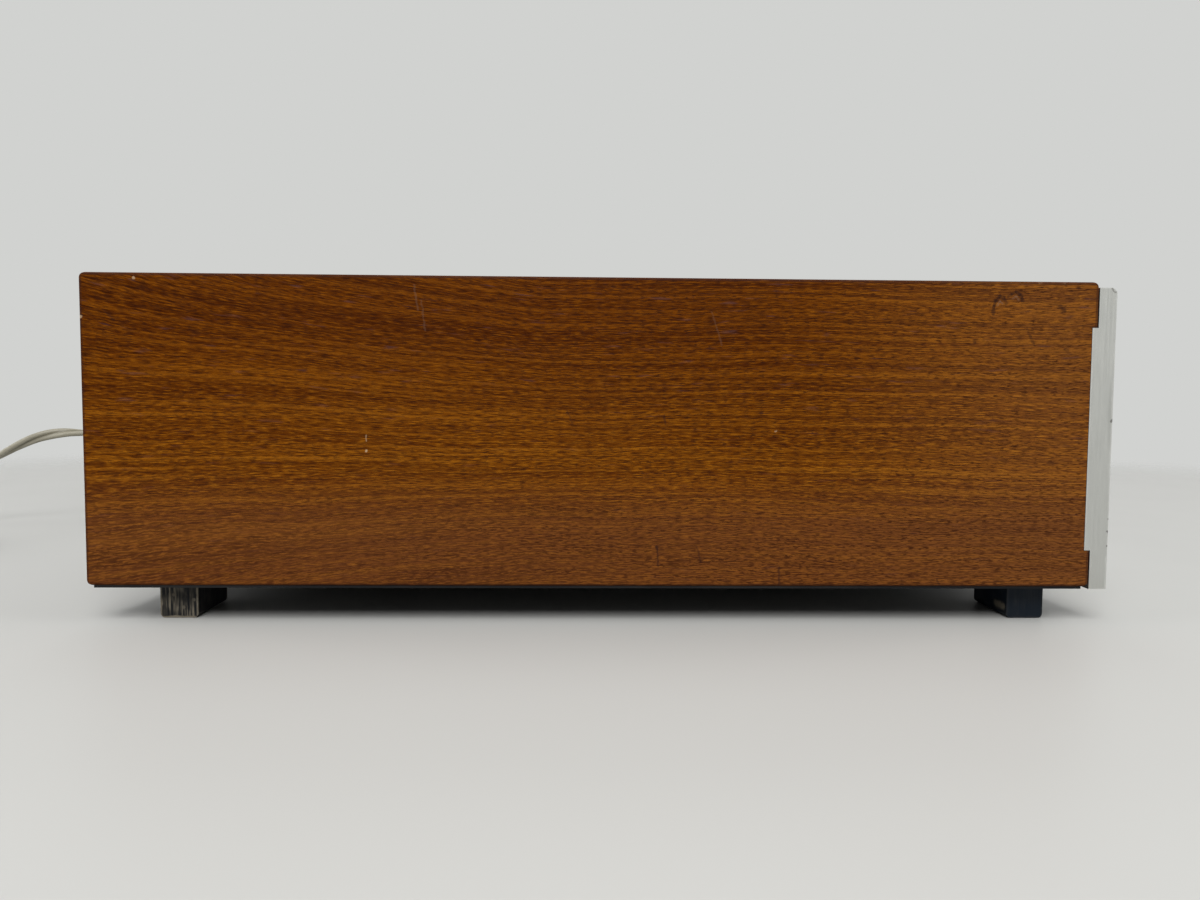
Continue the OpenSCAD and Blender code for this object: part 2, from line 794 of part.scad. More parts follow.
// Turned knob with its axis along Z, its foot at Z = 0 and its pointer at an angle from the top
module knob(d, l, flutes, pointer) {
    r = d / 2;
    bore = shaft_d / 2 + run_gap;
    grip = r - knob_step;
    rim = grip - knob_bevel;
    color("silver") difference() {
        rotate_extrude() polygon([
            [bore, 0], [r, 0], [r, knob_skirt], [grip, knob_skirt + knob_step / 2], [grip, l - knob_bevel],
            [rim, l], [rim - knob_rim, l], [rim - knob_rim - knob_dish, l - knob_dish], [0, l - knob_dish],
            [0, l - knob_cap], [bore, l - knob_cap]
        ]);
        for (i = [0 : flutes - 1]) rotate(360 / flutes * i)
            translate([grip + flute_r * 0.3, 0, knob_skirt + knob_step]) cylinder(r = flute_r, h = l);
        rotate(-pointer) translate([-pointer_w / 2, r / 2, l - knob_dish - pointer_depth])
            cube([pointer_w, r, pointer_depth + knob_dish + 1]);
    }
}

module turned_knob(x, d, l, flutes, pointer) {
    facing_front(x, y_face - knob_gap, z_row) knob(d, l, flutes, pointer);
}

module shaft(x, l, behind) {
    back = y_behind + behind - shaft_end;
    tip = y_face - knob_gap - l + knob_cap;
    color("gold") facing_front(x, back, z_row) cylinder(d = shaft_d, h = back - tip);
}

module control_bush() {
    cylinder(d = bush_d, h = sheet_t + nut_t + bush_proud);
}

module shaft_bore(behind) {
    translate([0, 0, shaft_end - shaft_float - behind])
        cylinder(d = shaft_d + 2 * run_gap, h = behind + sheet_t + nut_t + bush_proud);
}

// Two-gang potentiometer: two cans, a wafer with lugs behind each, and the bush in front
module potentiometer(x) {
    gang = control_len / 2;
    color("darkkhaki") facing_front(x, y_behind, z_row) difference() {
        union() {
            control_bush();
            for (i = [1, 2]) translate([0, 0, -i * gang]) {
                cylinder(d = control_d, h = gang - wafer_t);
                translate([0, 0, gang - wafer_t]) cylinder(d = control_d - 2, h = wafer_t);
                for (k = [-1, 0, 1])
                    translate([lug_pitch * k - lug_w / 2, -control_d / 2 - lug_len, gang - wafer_t])
                        cube([lug_w, 2 * lug_len, wafer_t / 2]);
            }
        }
        shaft_bore(control_len);
    }
}

// Rotary switch: wafers on two rods behind a detent plate
module selector_switch() {
    color("peru") facing_front(selector_x, y_behind, z_row) difference() {
        union() {
            control_bush();
            translate([0, 0, -selector_len]) cylinder(d = control_d / 2, h = selector_len);
            translate([0, 0, -detent_t]) cylinder(d = wafer_d - 2 * rod_r, h = detent_t);
            for (i = [0 : 2]) translate([0, 0, -selector_len + i * (selector_len - detent_t) / 3])
                cylinder(d = wafer_d, h = wafer_t);
            for (sx = [-1, 1]) translate([sx * (wafer_d / 2 - rod_edge), 0, -selector_len])
                cylinder(r = rod_r, h = selector_len);
        }
        shaft_bore(selector_len);
    }
}

module control_nuts() {
    color("lightgray") for (x = [bass_x, treble_x, balance_x, selector_x, volume_x])
        facing_front(x, y_bracket, z_row) difference() {
            cylinder(d = nut_af / cos(30), h = nut_t, $fn = 6);
            translate([0, 0, -1]) cylinder(d = bush_d + 2 * run_gap, h = nut_t + 2);
        }
}

// Push button: a chamfered head on a flat plunger
module button(x, z, w, h) {
    front = y_face - button_out;
    c = button_chamfer;
    color("silver") intersection() {
        translate([0, 0, z - h / 2]) linear_extrude(h) polygon([
            [x - w / 2, front + c], [x - w / 2 + c, front], [x + w / 2 - c, front], [x + w / 2, front + c],
            [x + w / 2, front + button_len], [x - w / 2, front + button_len]
        ]);
        side_outline(x - w / 2, x + w / 2) polygon([
            [front + c, z - h / 2], [front, z - h / 2 + c], [front, z + h / 2 - c], [front + c, z + h / 2],
            [front + button_len, z + h / 2], [front + button_len, z - h / 2]
        ]);
    }
    color("dimgray") block([x - plunger_w / 2, front + button_len, z - plunger_h / 2],
                           [x + plunger_w / 2, y_behind + plunger_in, z + plunger_h / 2]);
}

module plunger_pocket(x, z) {
    block([x - plunger_w / 2 - plunger_gap, y_behind - 1, z - plunger_h / 2 - plunger_gap],
          [x + plunger_w / 2 + plunger_gap, y_behind + plunger_in + button_travel + 1,
           z + plunger_h / 2 + plunger_gap]);
}

module switch_body(x0, x1, z) {
    block([x0 - plunger_w / 2 - switch_wall, y_behind, z - plunger_h / 2 - switch_wall],
          [x1 + plunger_w / 2 + switch_wall, y_behind + plunger_in + button_travel + switch_back,
           z + plunger_h / 2 + switch_wall]);
}

module switch_bank() {
    color("ivory") difference() {
        switch_body(button_x[0], button_x[3], z_row);
        for (x = button_x) plunger_pocket(x, z_row);
        for (i = [0 : 2])
            block([button_x[i] + (button_pitch - bank_slit) / 2, y_behind + bank_front, z_row],
                  [button_x[i] + (button_pitch + bank_slit) / 2,
                   y_behind + plunger_in + button_travel + switch_back + 1, z_row + plunger_h + switch_wall]);
    }
}

module power_switch() {
    color("ivory") difference() {
        switch_body(column_x, column_x, z_power);
        plunger_pocket(column_x, z_power);
    }
}

// Neon lamp in a sleeve, with a domed lens on the panel
module pilot_lamp() {
    rim = lens_d / 2 + lens_rim;
    color("orange") facing_front(column_x, y_face, z_pilot) rotate_extrude() polygon([
        [0, y_face - y_bracket], [lens_d / 2, y_face - y_bracket], [lens_d / 2, 0], [rim, 0],
        [rim, lens_dome], [rim - lens_dome, 2 * lens_dome], [rim / 2, 2.75 * lens_dome], [0, 3 * lens_dome]
    ]);
}

// Quarter-inch jack socket: a bush through bracket and panel, and a body behind
module headphone_socket() {
    front = y_face - phones_ring_t;
    color("darkgray") difference() {
        union() {
            facing_front(column_x, y_behind, z_phones) cylinder(d = phones_bush, h = y_behind - front);
            block([column_x - phones_body / 2, y_behind, z_phones - phones_body / 2],
                  [column_x + phones_body / 2, y_behind + phones_body_len, z_phones + phones_body / 2]);
        }
        facing_front(column_x, y_behind + phones_body_len - phones_floor, z_phones)
            cylinder(d = phones_bore, h = y_behind + phones_body_len - phones_floor - front + 1);
    }
}

module headphone_ring() {
    inner = phones_bush / 2 + run_gap;
    outer = phones_ring_d / 2;
    color("silver") facing_front(column_x, y_face, z_phones) rotate_extrude() polygon([
        [inner, 0], [outer, 0], [outer, phones_ring_t - ring_bevel], [outer - ring_bevel, phones_ring_t],
        [inner, phones_ring_t]
    ]);
}

// Chassis
module chassis_tray() {
    color("lightgray") difference() {
        union() {
            block([-x_tray, y_bracket, z_wood], [x_tray, y_inner, z_tray]);
            for (sx = [-1, 1])
                block([sx > 0 ? x_tray - sheet_t : -x_tray, y_bracket, z_wood],
                      [sx > 0 ? x_tray : sheet_t - x_tray, y_inner, z_wood + tray_edge]);
            block([-x_tray, y_inner - sheet_t, z_wood], [x_tray, y_inner, z_wood + tray_edge]);
        }
        vents_below();
        tray_places() screw_hole(screw_r + run_gap, plate_t + sheet_t + 1);
        rear_places() screw_hole(screw_r + run_gap, 2 * sheet_t + 1);
        clamp_places() screw_hole(screw_r + run_gap, clamp_t + sheet_t + 1);
    }
}

module rear_panel() {
    neck = relief_d / 2 - relief_step + hole_gap;
    tongue_half = strip_w / 2 - tongue_edge + hole_gap;
    window_half = [socket_plate_w / 2 - plate_lap, socket_plate_h / 2 - plate_lap];
    color("dimgray") difference() {
        block([chassis_gap / 2 - x_inner, y_inner, z_wood], [x_inner - chassis_gap / 2, y_outer, z_roof]);
        block([plate_x - window_half[0], y_inner - 1, z_sockets - window_half[1]],
              [plate_x + window_half[0], y_outer + 1, z_sockets + window_half[1]]);
        block([strip_x - tongue_half, y_inner - 1, z_strip - tongue_h / 2 - hole_gap],
              [strip_x + tongue_half, y_outer + 1, z_strip + tongue_h / 2 + hole_gap]);
        facing_rear(outlet_x, y_inner - 1, outlet_z) cylinder(r = neck, h = sheet_t + 2);
        for (x = [strip_x, core_x]) translate([x, y_outer + 1, z_rear_vent]) rotate([90, 0, 0])
            linear_extrude(sheet_t + 2) vent_field();
        rear_places() screw_hole(screw_r + screw_gap, sheet_t + 1);
    }
}

// Power supply
module transformer_core() {
    color("slategray") translate([core_x, core_y, z_tray]) difference() {
        translate([-core_w / 2, -core_stack / 2, 0]) cube([core_w, core_stack, core_h]);
        for (sx = [-1, 1])
            translate([sx * (core_leg + window_w) / 2, 0, core_h / 2])
                cube([window_w, core_stack + 2, core_h - 2 * core_yoke], center = true);
    }
}

module transformer_winding() {
    half_w = core_leg / 2 + window_w - winding_gap;
    half_h = core_h / 2 - core_yoke - winding_gap;
    color("goldenrod") translate([core_x, core_y, z_tray + core_h / 2]) difference() {
        translate([0, 0, -half_h]) linear_extrude(2 * half_h)
            rounded([-half_w, -winding_d / 2], [half_w, winding_d / 2], window_w / 2);
        cube([core_leg + 2 * winding_gap, core_stack + 2 * winding_gap, core_h], center = true);
    }
}

module transformer_clamp() {
    outer = core_w / 2 + clamp_t;
    width = core_stack - 2 * clamp_margin;
    color("gainsboro") difference() {
        translate([core_x, 0, z_tray]) front_outline(core_y - width / 2, core_y + width / 2) difference() {
            union() {
                translate([-outer, 0]) square([2 * outer, core_h + clamp_t]);
                translate([-outer - clamp_foot, 0]) square([2 * outer + 2 * clamp_foot, clamp_t]);
            }
            translate([-core_w / 2, -1]) square([core_w, core_h + 1]);
        }
        clamp_places() screw_hole(screw_r + screw_gap, clamp_t + 1);
    }
}

// Two cans with a rolled rim and a vented top
module reservoir_capacitors() {
    r = can_d / 2;
    color("royalblue") for (i = [0, 1])
        translate([can_x, y_board + can_step * (i + 1), z_board + pcb_t]) rotate_extrude() polygon([
            [0, 0], [r - can_rim, 0], [r, can_rim], [r, can_bead], [r - can_rim, can_bead + can_rim],
            [r, can_bead + 2 * can_rim], [r, can_h - can_rim], [r - can_rim, can_h],
            [r - 2 * can_rim, can_h], [r - 3 * can_rim, can_h - can_rim], [0, can_h - can_rim]
        ]);
}

// Amplifier
module heat_sink() {
    color("black") translate([strip_x - sink_w / 2, y_sink - sink_d, z_tray]) linear_extrude(sink_h) {
        square([sink_w, sink_back]);
        for (i = [0 : fin_count - 1])
            translate([i * (sink_w - fin_t) / (fin_count - 1), 0]) square([fin_t, sink_d]);
    }
}

// Power transistors: a flange with two ears and a round can
module output_transistors() {
    color("silver") for (i = [-1.5 : 1.5])
        facing_front(strip_x + i * transistor_pitch, y_sink - sink_d, z_tray + sink_h / 2) {
            linear_extrude(flange_t) hull() {
                circle(flange_r, $fn = 32);
                for (s = [-1, 1]) translate([0, ear_reach * s]) circle(ear_r, $fn = 32);
            }
            cylinder(r = transistor_r, h = transistor_h);
        }
}

module circuit_board(x, y, w, d) {
    difference() {
        block([x, y, z_board], [x + w, y + d, z_board + pcb_t]);
        board_places() screw_hole(screw_r + screw_gap, pcb_t + 1);
    }
}

module main_board() {
    color("tan") circuit_board(x_board, y_board, board_w, board_d);
}

module tone_board() {
    color("tan") circuit_board(x_tone, y_tone, tone_w, tone_d);
}

module board_standoffs() {
    color("gainsboro") difference() {
        board_places() translate([0, 0, pcb_t]) cylinder(d = standoff_d, h = standoff_h);
        board_places() screw_hole(screw_r + run_gap, pcb_t + screw_bite + screw_gap);
    }
}

// Rear sockets
module socket_plate() {
    color("saddlebrown") difference() {
        block([plate_x - socket_plate_w / 2, y_outer, z_sockets - socket_plate_h / 2],
              [plate_x + socket_plate_w / 2, y_outer + socket_plate_t, z_sockets + socket_plate_h / 2]);
        socket_places() translate([0, 0, -socket_plate_t - 1])
            cylinder(r = stem_r + hole_gap, h = socket_plate_t + 2);
    }
}

module socket_places() {
    for (i = [-1.5 : 1.5], j = [-0.5, 0.5])
        facing_rear(plate_x + i * socket_pitch, y_outer + socket_plate_t, z_sockets + j * socket_row)
            children();
}

module phono_sockets() {
    r = sleeve_d / 2;
    bore = sleeve_bore / 2;
    tip = socket_flange_t + sleeve_len;
    back = -socket_plate_t - stem_behind;
    color("lightgray") socket_places() rotate_extrude() polygon([
        [0, back], [stem_r, back], [stem_r, 0], [r + socket_flange_w, 0],
        [r + socket_flange_w, socket_flange_t], [r, socket_flange_t],
        [r, tip - sleeve_bevel], [r - sleeve_bevel, tip], [bore, tip], [bore, 0], [0, 0]
    ]);
}

// Barrier strip with a tongue through the rear panel
module speaker_terminals() {
    color("black") difference() {
        union() {
            translate([strip_x, 0, z_strip - strip_h / 2]) linear_extrude(strip_h) {
                translate([-strip_w / 2, y_outer]) square([strip_w, strip_floor]);
                for (i = [0 : 4]) translate([i * (strip_w - barrier_t) / 4 - strip_w / 2, y_outer])
                    square([barrier_t, strip_barrier]);
            }
            block([strip_x - strip_w / 2 + tongue_edge, y_inner - tongue_behind, z_strip - tongue_h / 2],
                  [strip_x + strip_w / 2 - tongue_edge, y_outer + eps, z_strip + tongue_h / 2]);
        }
        terminal_places() screw_hole(screw_r + run_gap, strip_floor + screw_gap);
    }
}

// Mains lead
// Tapered sleeve gripped by the rear panel, with grooves that let it bend
module strain_relief() {
    r = relief_d / 2;
    tip = relief_tip_d / 2;
    neck = r - relief_step;
    slope = (tip - r) / (relief_len - relief_collar);
    grooves = floor((relief_len - 2 * relief_collar) / groove_pitch) - 1;
    color("dimgray") facing_rear(outlet_x, y_outer, outlet_z) rotate_extrude() polygon(concat(
        [[0, -sheet_t - relief_collar], [r + 2, -sheet_t - relief_collar], [r + 2, -sheet_t]],
        [[neck, -sheet_t], [neck, 0], [r, 0], [r, relief_collar]],
        [for (i = [1 : grooves], k = [0 : 3])
            let (z = relief_collar + groove_pitch * i + [-1.2, -0.8, 0.8, 1.2][k])
            [r + slope * (z - relief_collar) - (k == 1 || k == 2 ? groove_depth : 0), z]],
        [[tip, relief_len], [0, relief_len]]
    ));
}

// Tube with the flex's section along a path, as one closed mesh of triangles
module flex(path, rolls) {
    n = len(flex_section);
    last = len(path) - 1;
    points = [for (i = [0 : last]) each ring(path, i, rolls[i])];
    walls = [for (i = [0 : last - 1], k = [0 : n - 1])
        let (a = i * n + k, b = i * n + (k + 1) % n)
        each [[a, b, b + n], [a, b + n, a + n]]];
    ends = [for (k = [1 : n - 2])
        each [[0, k + 1, k], [last * n, last * n + k, last * n + k + 1]]];
    polyhedron(points, concat(walls, ends));
}

module mains_lead() {
    color("tan") flex(lead_route, lead_roll);
}

module lead_coil() {
    color("tan") flex(coil_path, coil_roll);
}

// Strap round the coil, on the side away from the climbing turn
module lead_tie() {
    far = coil_x - coil_radius(0.25) - core_r - tie_gap;
    near = coil_x - coil_radius(coil_turns / 2 - 0.25) + core_r + tie_gap;
    high = coil_z + coil_layer + flex_w / 2 + tie_gap;
    color("black") front_outline(coil_y - tie_w / 2, coil_y + tie_w / 2) difference() {
        rounded([far - tie_t, 0], [near + tie_t, high + tie_t], 2 * tie_t);
        rounded([far, tie_t], [near, high], tie_t);
    }
}

// Plan of the plug's body, hollowed on both flanks from the neck to the head
module plug_plan() {
    face = plug_w / 2;
    neck = plug_neck_d / 2 + plug_step;
    run = plug_len - plug_head_len - plug_neck_len;
    rise = face - neck;
    hollow_r = (run * run + rise * rise) / (2 * rise);
    difference() {
        polygon(both_sides([
            [plug_neck_len, face], [plug_len - plug_bevel, face], [plug_len, face - plug_bevel]
        ]));
        for (s = [-1, 1]) translate([plug_neck_len, s * (neck + hollow_r)]) circle(hollow_r);
    }
}

// Side of the plug's body, which swells from the neck to its flats
module plug_side() {
    flat = plug_t / 2;
    polygon(both_sides([
        [plug_neck_len, plug_neck_d / 2 + plug_step], [plug_len - plug_flat_len, flat],
        [plug_len - plug_bevel, flat], [plug_len, flat - plug_bevel]
    ]));
}

// Tapered neck with rings that let it bend
module plug_neck() {
    tip = plug_tip_d / 2;
    slope = (plug_neck_d - plug_tip_d) / 2 / plug_neck_len;
    edge = ring_w / 2;
    rotate([0, 90, 0]) rotate_extrude() polygon(concat(
        [[0, 0], [tip, 0]],
        [for (i = [1 : plug_rings], k = [0 : 3])
            let (z = ring_pitch * i + [-edge, -edge, edge, edge][k])
            [tip + slope * z - (k == 1 || k == 2 ? ring_depth : 0), z]],
        [[plug_neck_d / 2, plug_neck_len], [tip, plug_neck_len]],
        [[tip, plug_neck_len + plug_step], [0, plug_neck_len + plug_step]]
    ));
}

// Flat two-pin plug with a round-ended face and grip grooves on both flats
module mains_plug() {
    flat = plug_t / 2;
    reach = plug_w / 2 + eps;
    shoulder = (plug_w - plug_neck_d) / 4;
    color("black") translate(plug_place) rotate([0, 0, 180]) difference() {
        union() {
            plug_neck();
            intersection() {
                translate([0, 0, -flat]) linear_extrude(plug_t) plug_plan();
                front_outline(-plug_w / 2, plug_w / 2) plug_side();
                side_outline(0, plug_len) rotate(90) slot(plug_w, plug_t);
                translate([plug_neck_len, 0, 0]) rotate([0, 90, 0]) rotate_extrude() polygon([
                    [0, 0], [plug_neck_d / 2, 0], [reach, shoulder], [reach, plug_len], [0, plug_len]
                ]);
            }
        }
        for (i = [0 : grips - 1], s = [-1, 1])
            translate([plug_len - plug_head_len + i * grip_pitch, 0, s * (flat + grip_r - grip_depth)])
                rotate([90, 0, 0]) cylinder(r = grip_r, h = plug_w - plug_t, center = true);
    }
}

module plug_pins() {
    color("gold") translate(plug_place) for (s = [-1, 1])
        translate([-plug_len, s * plug_pin_pitch / 2, 0]) rotate([0, -90, 0]) {
            cylinder(d = plug_pin_d, h = plug_pin_len - pin_taper);
            translate([0, 0, plug_pin_len - pin_taper])
                cylinder(d1 = plug_pin_d, d2 = plug_pin_d - 2 * pin_taper, h = pin_taper);
        }
}

side_board();  // left_side_board
mirror([1, 0, 0]) side_board();  // right_side_board
top_board();
bottom_plate();
side_cleats();
foot(-1, front_foot_y);  // front_left_foot
foot(1, front_foot_y);  // front_right_foot
foot(-1, rear_foot_y);  // rear_left_foot
foot(1, rear_foot_y);  // rear_right_foot
foot_screws();
front_panel();
panel_pillars();
control_bracket();
turned_knob(bass_x, knob_d, knob_len, flute_count, 0);  // bass_knob
shaft(bass_x, knob_len, control_len);  // bass_shaft
potentiometer(bass_x);  // bass_control
turned_knob(treble_x, knob_d, knob_len, flute_count, 0);  // treble_knob
shaft(treble_x, knob_len, control_len);  // treble_shaft
potentiometer(treble_x);  // treble_control
turned_knob(balance_x, knob_d, knob_len, flute_count, 0);  // balance_knob
shaft(balance_x, knob_len, control_len);  // balance_shaft
potentiometer(balance_x);  // balance_control
turned_knob(selector_x, knob_d, knob_len, flute_count, 0);  // selector_knob
shaft(selector_x, knob_len, selector_len);  // selector_shaft
selector_switch();
turned_knob(volume_x, volume_knob_d, volume_knob_len, volume_flutes, volume_rest);  // volume_knob
shaft(volume_x, volume_knob_len, control_len);  // volume_shaft
potentiometer(volume_x);  // volume_control
control_nuts();
button(button_x[0], z_row, button_w, button_h);  // tape_button
button(button_x[1], z_row, button_w, button_h);  // mono_button
button(button_x[2], z_row, button_w, button_h);  // loudness_button
button(button_x[3], z_row, button_w, button_h);  // filter_button
switch_bank();
button(column_x, z_power, power_w, power_h);  // power_button
power_switch();
pilot_lamp();
headphone_socket();
headphone_ring();
chassis_tray();
rear_panel();
chassis_screws();
transformer_core();
transformer_winding();
transformer_clamp();
reservoir_capacitors();
heat_sink();
output_transistors();
main_board();
tone_board();
board_standoffs();
socket_plate();
phono_sockets();
speaker_terminals();
strain_relief();
mains_lead();
lead_coil();
lead_tie();
mains_plug();
plug_pins();
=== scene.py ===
"""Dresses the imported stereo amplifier: finishes, printed marks, mains lead, studio and camera."""

from __future__ import annotations

import json
import logging
import math
from dataclasses import dataclass
from enum import Enum
from typing import ClassVar, Sequence, Union

import bmesh
import bpy
from mathutils import Matrix, Vector

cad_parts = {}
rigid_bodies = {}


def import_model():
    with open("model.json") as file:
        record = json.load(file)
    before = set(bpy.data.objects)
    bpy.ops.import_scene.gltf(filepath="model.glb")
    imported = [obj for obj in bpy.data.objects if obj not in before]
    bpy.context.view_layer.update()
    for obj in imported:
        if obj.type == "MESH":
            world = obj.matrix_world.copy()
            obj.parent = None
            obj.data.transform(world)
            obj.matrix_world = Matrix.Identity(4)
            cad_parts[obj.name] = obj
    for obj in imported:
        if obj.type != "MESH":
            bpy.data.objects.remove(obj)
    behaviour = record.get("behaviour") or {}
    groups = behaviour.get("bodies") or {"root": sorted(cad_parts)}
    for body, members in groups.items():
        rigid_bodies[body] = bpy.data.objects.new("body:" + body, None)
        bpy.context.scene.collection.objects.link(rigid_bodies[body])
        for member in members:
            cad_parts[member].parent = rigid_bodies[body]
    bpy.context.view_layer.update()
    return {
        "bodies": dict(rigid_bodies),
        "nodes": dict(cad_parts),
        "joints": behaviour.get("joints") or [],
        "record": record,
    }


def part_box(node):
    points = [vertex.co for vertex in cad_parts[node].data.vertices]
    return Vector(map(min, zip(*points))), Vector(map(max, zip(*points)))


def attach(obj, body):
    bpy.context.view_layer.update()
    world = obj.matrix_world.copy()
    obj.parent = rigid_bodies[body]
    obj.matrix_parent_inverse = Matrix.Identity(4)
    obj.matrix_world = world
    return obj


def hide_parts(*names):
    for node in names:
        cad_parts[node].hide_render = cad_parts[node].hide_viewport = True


LOG = logging.getLogger("amplifier")
MM = 0.001
LEFT_FACE = -215.0
NOISE_SPAN = (0.3, 0.7)
Mesh = bmesh.types.BMesh
Piece = bpy.types.Object
Key = Union[int, str]
Feed = Union["Field", float, Sequence[float]]
Fields = dict[str, "Field"]
Triple = tuple[float, float, float]
Colour = tuple[float, float, float, float]
Station = tuple[float, ...]


def tone(*screen: float) -> Colour:
    """Turns screen values from 0 to 255 into a linear colour.

    Args:
        screen: The red, green and blue values.

    Returns:
        The colour with a full alpha.
    """
    shares = [value / 255 for value in screen]
    linear = [s / 12.92 if s <= 0.04045 else ((s + 0.055) / 1.055) ** 2.4 for s in shares]
    return (linear[0], linear[1], linear[2], 1.0)


def metres(point: Sequence[float]) -> Triple:
    """Turns a point in millimetres into metres."""
    return (point[0] * MM, point[1] * MM, point[2] * MM)


class Field:
    """A value, vector or colour that changes over a surface."""

    def __init__(self, graph: Graph, socket: bpy.types.NodeSocket) -> None:
        """Keeps a socket and the graph that it is in."""
        self.graph, self.socket = graph, socket

    def __add__(self, other: Feed) -> Field:
        """Gives the sum with another field."""
        return self.graph.math("ADD", self, other)

    def __sub__(self, other: Feed) -> Field:
        """Gives what is left without another field."""
        return self.graph.math("SUBTRACT", self, other)

    def __mul__(self, other: Feed) -> Field:
        """Gives the product with another field."""
        return self.graph.math("MULTIPLY", self, other)

    def __truediv__(self, other: Feed) -> Field:
        """Gives this field divided by another."""
        return self.graph.math("DIVIDE", self, other)

    def most(self, other: Feed) -> Field:
        """Gives the larger of two fields."""
        return self.graph.math("MAXIMUM", self, other)

    def size(self) -> Field:
        """Gives a value without its sign, or a vector's length."""
        return self.graph.math("ABSOLUTE" if self.socket.type == "VALUE" else "LENGTH", self)

    def dot(self, other: Feed) -> Field:
        """Gives the dot product with another vector."""
        return self.graph.math("DOT_PRODUCT", self, other)

    def scaled(self, factor: Feed) -> Field:
        """Gives a vector times a number."""
        return self.graph.made("VectorMath", {0: self, "Scale": factor}, operation="SCALE")

    def split(self) -> list[Field]:
        """Gives a vector's three values."""
        return [Field(self.graph, out) for out in self.graph.node("SeparateXYZ", {0: self}).outputs]

    def noise(self, scale: Feed = 1.0, detail: float = 2.0, rough: float = 0.5) -> Field:
        """Gives the noise on a vector."""
        given = {"Vector": self, "Scale": scale, "Detail": detail, "Roughness": rough}
        return self.graph.made("TexNoise", given)

    def spread(self, start: float = 0.0, end: float = 1.0) -> Field:
        """Spreads a noise's usual values from start to end."""
        return self.ramp(*NOISE_SPAN, start, end)

    def ramp(self, low: Feed, high: Feed, start: Feed = 0.0, end: Feed = 1.0,
             smooth: bool = True) -> Field:
        """Maps a value from low and high to start and end, and holds it there beyond them.

        Args:
            low: Where the result is start.
            high: Where the result is end.
            start: The result at low.
            end: The result at high.
            smooth: Whether the ends are eased.

        Returns:
            The mapped value.
        """
        kind = "SMOOTHSTEP" if smooth else "LINEAR"
        given = {"Value": self, "From Min": low, "From Max": high, "To Min": start, "To Max": end}
        return self.graph.made("MapRange", given, interpolation_type=kind, clamp=True)


class Graph:
    """Adds and links nodes in one shader tree."""

    def __init__(self, tree: bpy.types.NodeTree) -> None:
        """Keeps the tree that the nodes go into."""
        self.tree = tree

    def feed(self, target: bpy.types.NodeSocket, value: Feed) -> None:
        """Links a field into a socket, or sets the socket's own value.

        Args:
            target: The socket.
            value: The field or the plain value.
        """
        if isinstance(value, Field):
            self.tree.links.new(value.socket, target)
        else:
            target.default_value = value

    def node(self, kind: str, given: dict[Key, Feed], **settings: object) -> bpy.types.Node:
        """Adds a shader node.

        Args:
            kind: The node's type without its ShaderNode prefix.
            given: What feeds its inputs.
            settings: Properties to set on it.

        Returns:
            The new node.
        """
        made = self.tree.nodes.new("ShaderNode" + kind)
        for key, value in settings.items():
            setattr(made, key, value)
        for key, value in given.items():
            self.feed(made.inputs[key], value)
        return made

    def made(self, kind: str, given: dict[Key, Feed], out: Key = 0, **settings: object) -> Field:
        """Adds a node and gives one of its outputs."""
        return Field(self, self.node(kind, given, **settings).outputs[out])

    def math(self, operation: str, *sides: Feed, clamp: bool = False) -> Field:
        """Works out a value, or a vector where one side is a vector.

        Args:
            operation: What is worked out.
            sides: What it is worked out from.
            clamp: Whether a value is held from 0 to 1.

        Returns:
            The result.
        """
        given = dict(enumerate(sides))
        kinds = [side.socket.type if isinstance(side, Field) else "VALUE" for side in sides]
        if all(kind == "VALUE" for kind in kinds):
            return self.made("Math", given, operation=operation, use_clamp=clamp)
        out = "Value" if operation in ("DOT_PRODUCT", "LENGTH") else "Vector"
        return self.made("VectorMath", given, out, operation=operation)

    def join(self, x: Feed, y: Feed, z: Feed) -> Field:
        """Gives the vector of three values."""
        return self.made("CombineXYZ", {0: x, 1: y, 2: z})

    def mix(self, share: Feed, first: Feed, second: Feed, blend: str = "MIX") -> Field:
        """Mixes two colours and gives the result."""
        given = {0: share, 6: first, 7: second}
        return self.made("Mix", given, 2, data_type="RGBA", blend_type=blend)

    def mix_vector(self, share: Feed, first: Feed, second: Feed) -> Field:
        """Mixes two vectors and gives the result."""
        return self.made("Mix", {0: share, 4: first, 5: second}, 1, data_type="VECTOR")


class Effect(Graph):
    """A shared shader group, made once and placed in each material with its own values."""

    name: ClassVar[str] = ""
    takes: ClassVar[dict[str, str]] = {}
    gives: ClassVar[tuple[str, ...]] = ("Mask",)

    def wire(self, given: Fields) -> tuple[Field, ...]:
        """Adds the group's inner nodes and gives its outputs in order."""
        raise NotImplementedError

    @classmethod
    def group(cls) -> bpy.types.NodeTree:
        """Gives the group's tree, which is made at first use.

        Returns:
            The tree.
        """
        tree = bpy.data.node_groups.get(cls.name)
        if tree is None:
            tree = bpy.data.node_groups.new(cls.name, "ShaderNodeTree")
            for label, kind in cls.takes.items():
                tree.interface.new_socket(
                    name=label, in_out="INPUT", socket_type="NodeSocket" + kind)
            for label in cls.gives:
                tree.interface.new_socket(
                    name=label, in_out="OUTPUT", socket_type="NodeSocketFloat")
            made = cls(tree)
            start, end = tree.nodes.new("NodeGroupInput"), tree.nodes.new("NodeGroupOutput")
            given = {label: Field(made, start.outputs[label]) for label in cls.takes}
            for label, value in zip(cls.gives, made.wire(given)):
                made.feed(end.inputs[label], value)
        return tree

    @classmethod
    def place(cls, on: Graph, **values: Feed) -> Fields:
        """Places the group in a material.

        Args:
            on: The material's graph.
            values: What feeds each input, by its name in small letters.

        Returns:
            The group's outputs by name.
        """
        given = {label.capitalize(): value for label, value in values.items()}
        node = on.node("Group", given, node_tree=cls.group())
        return {out.name: Field(on, out) for out in node.outputs}


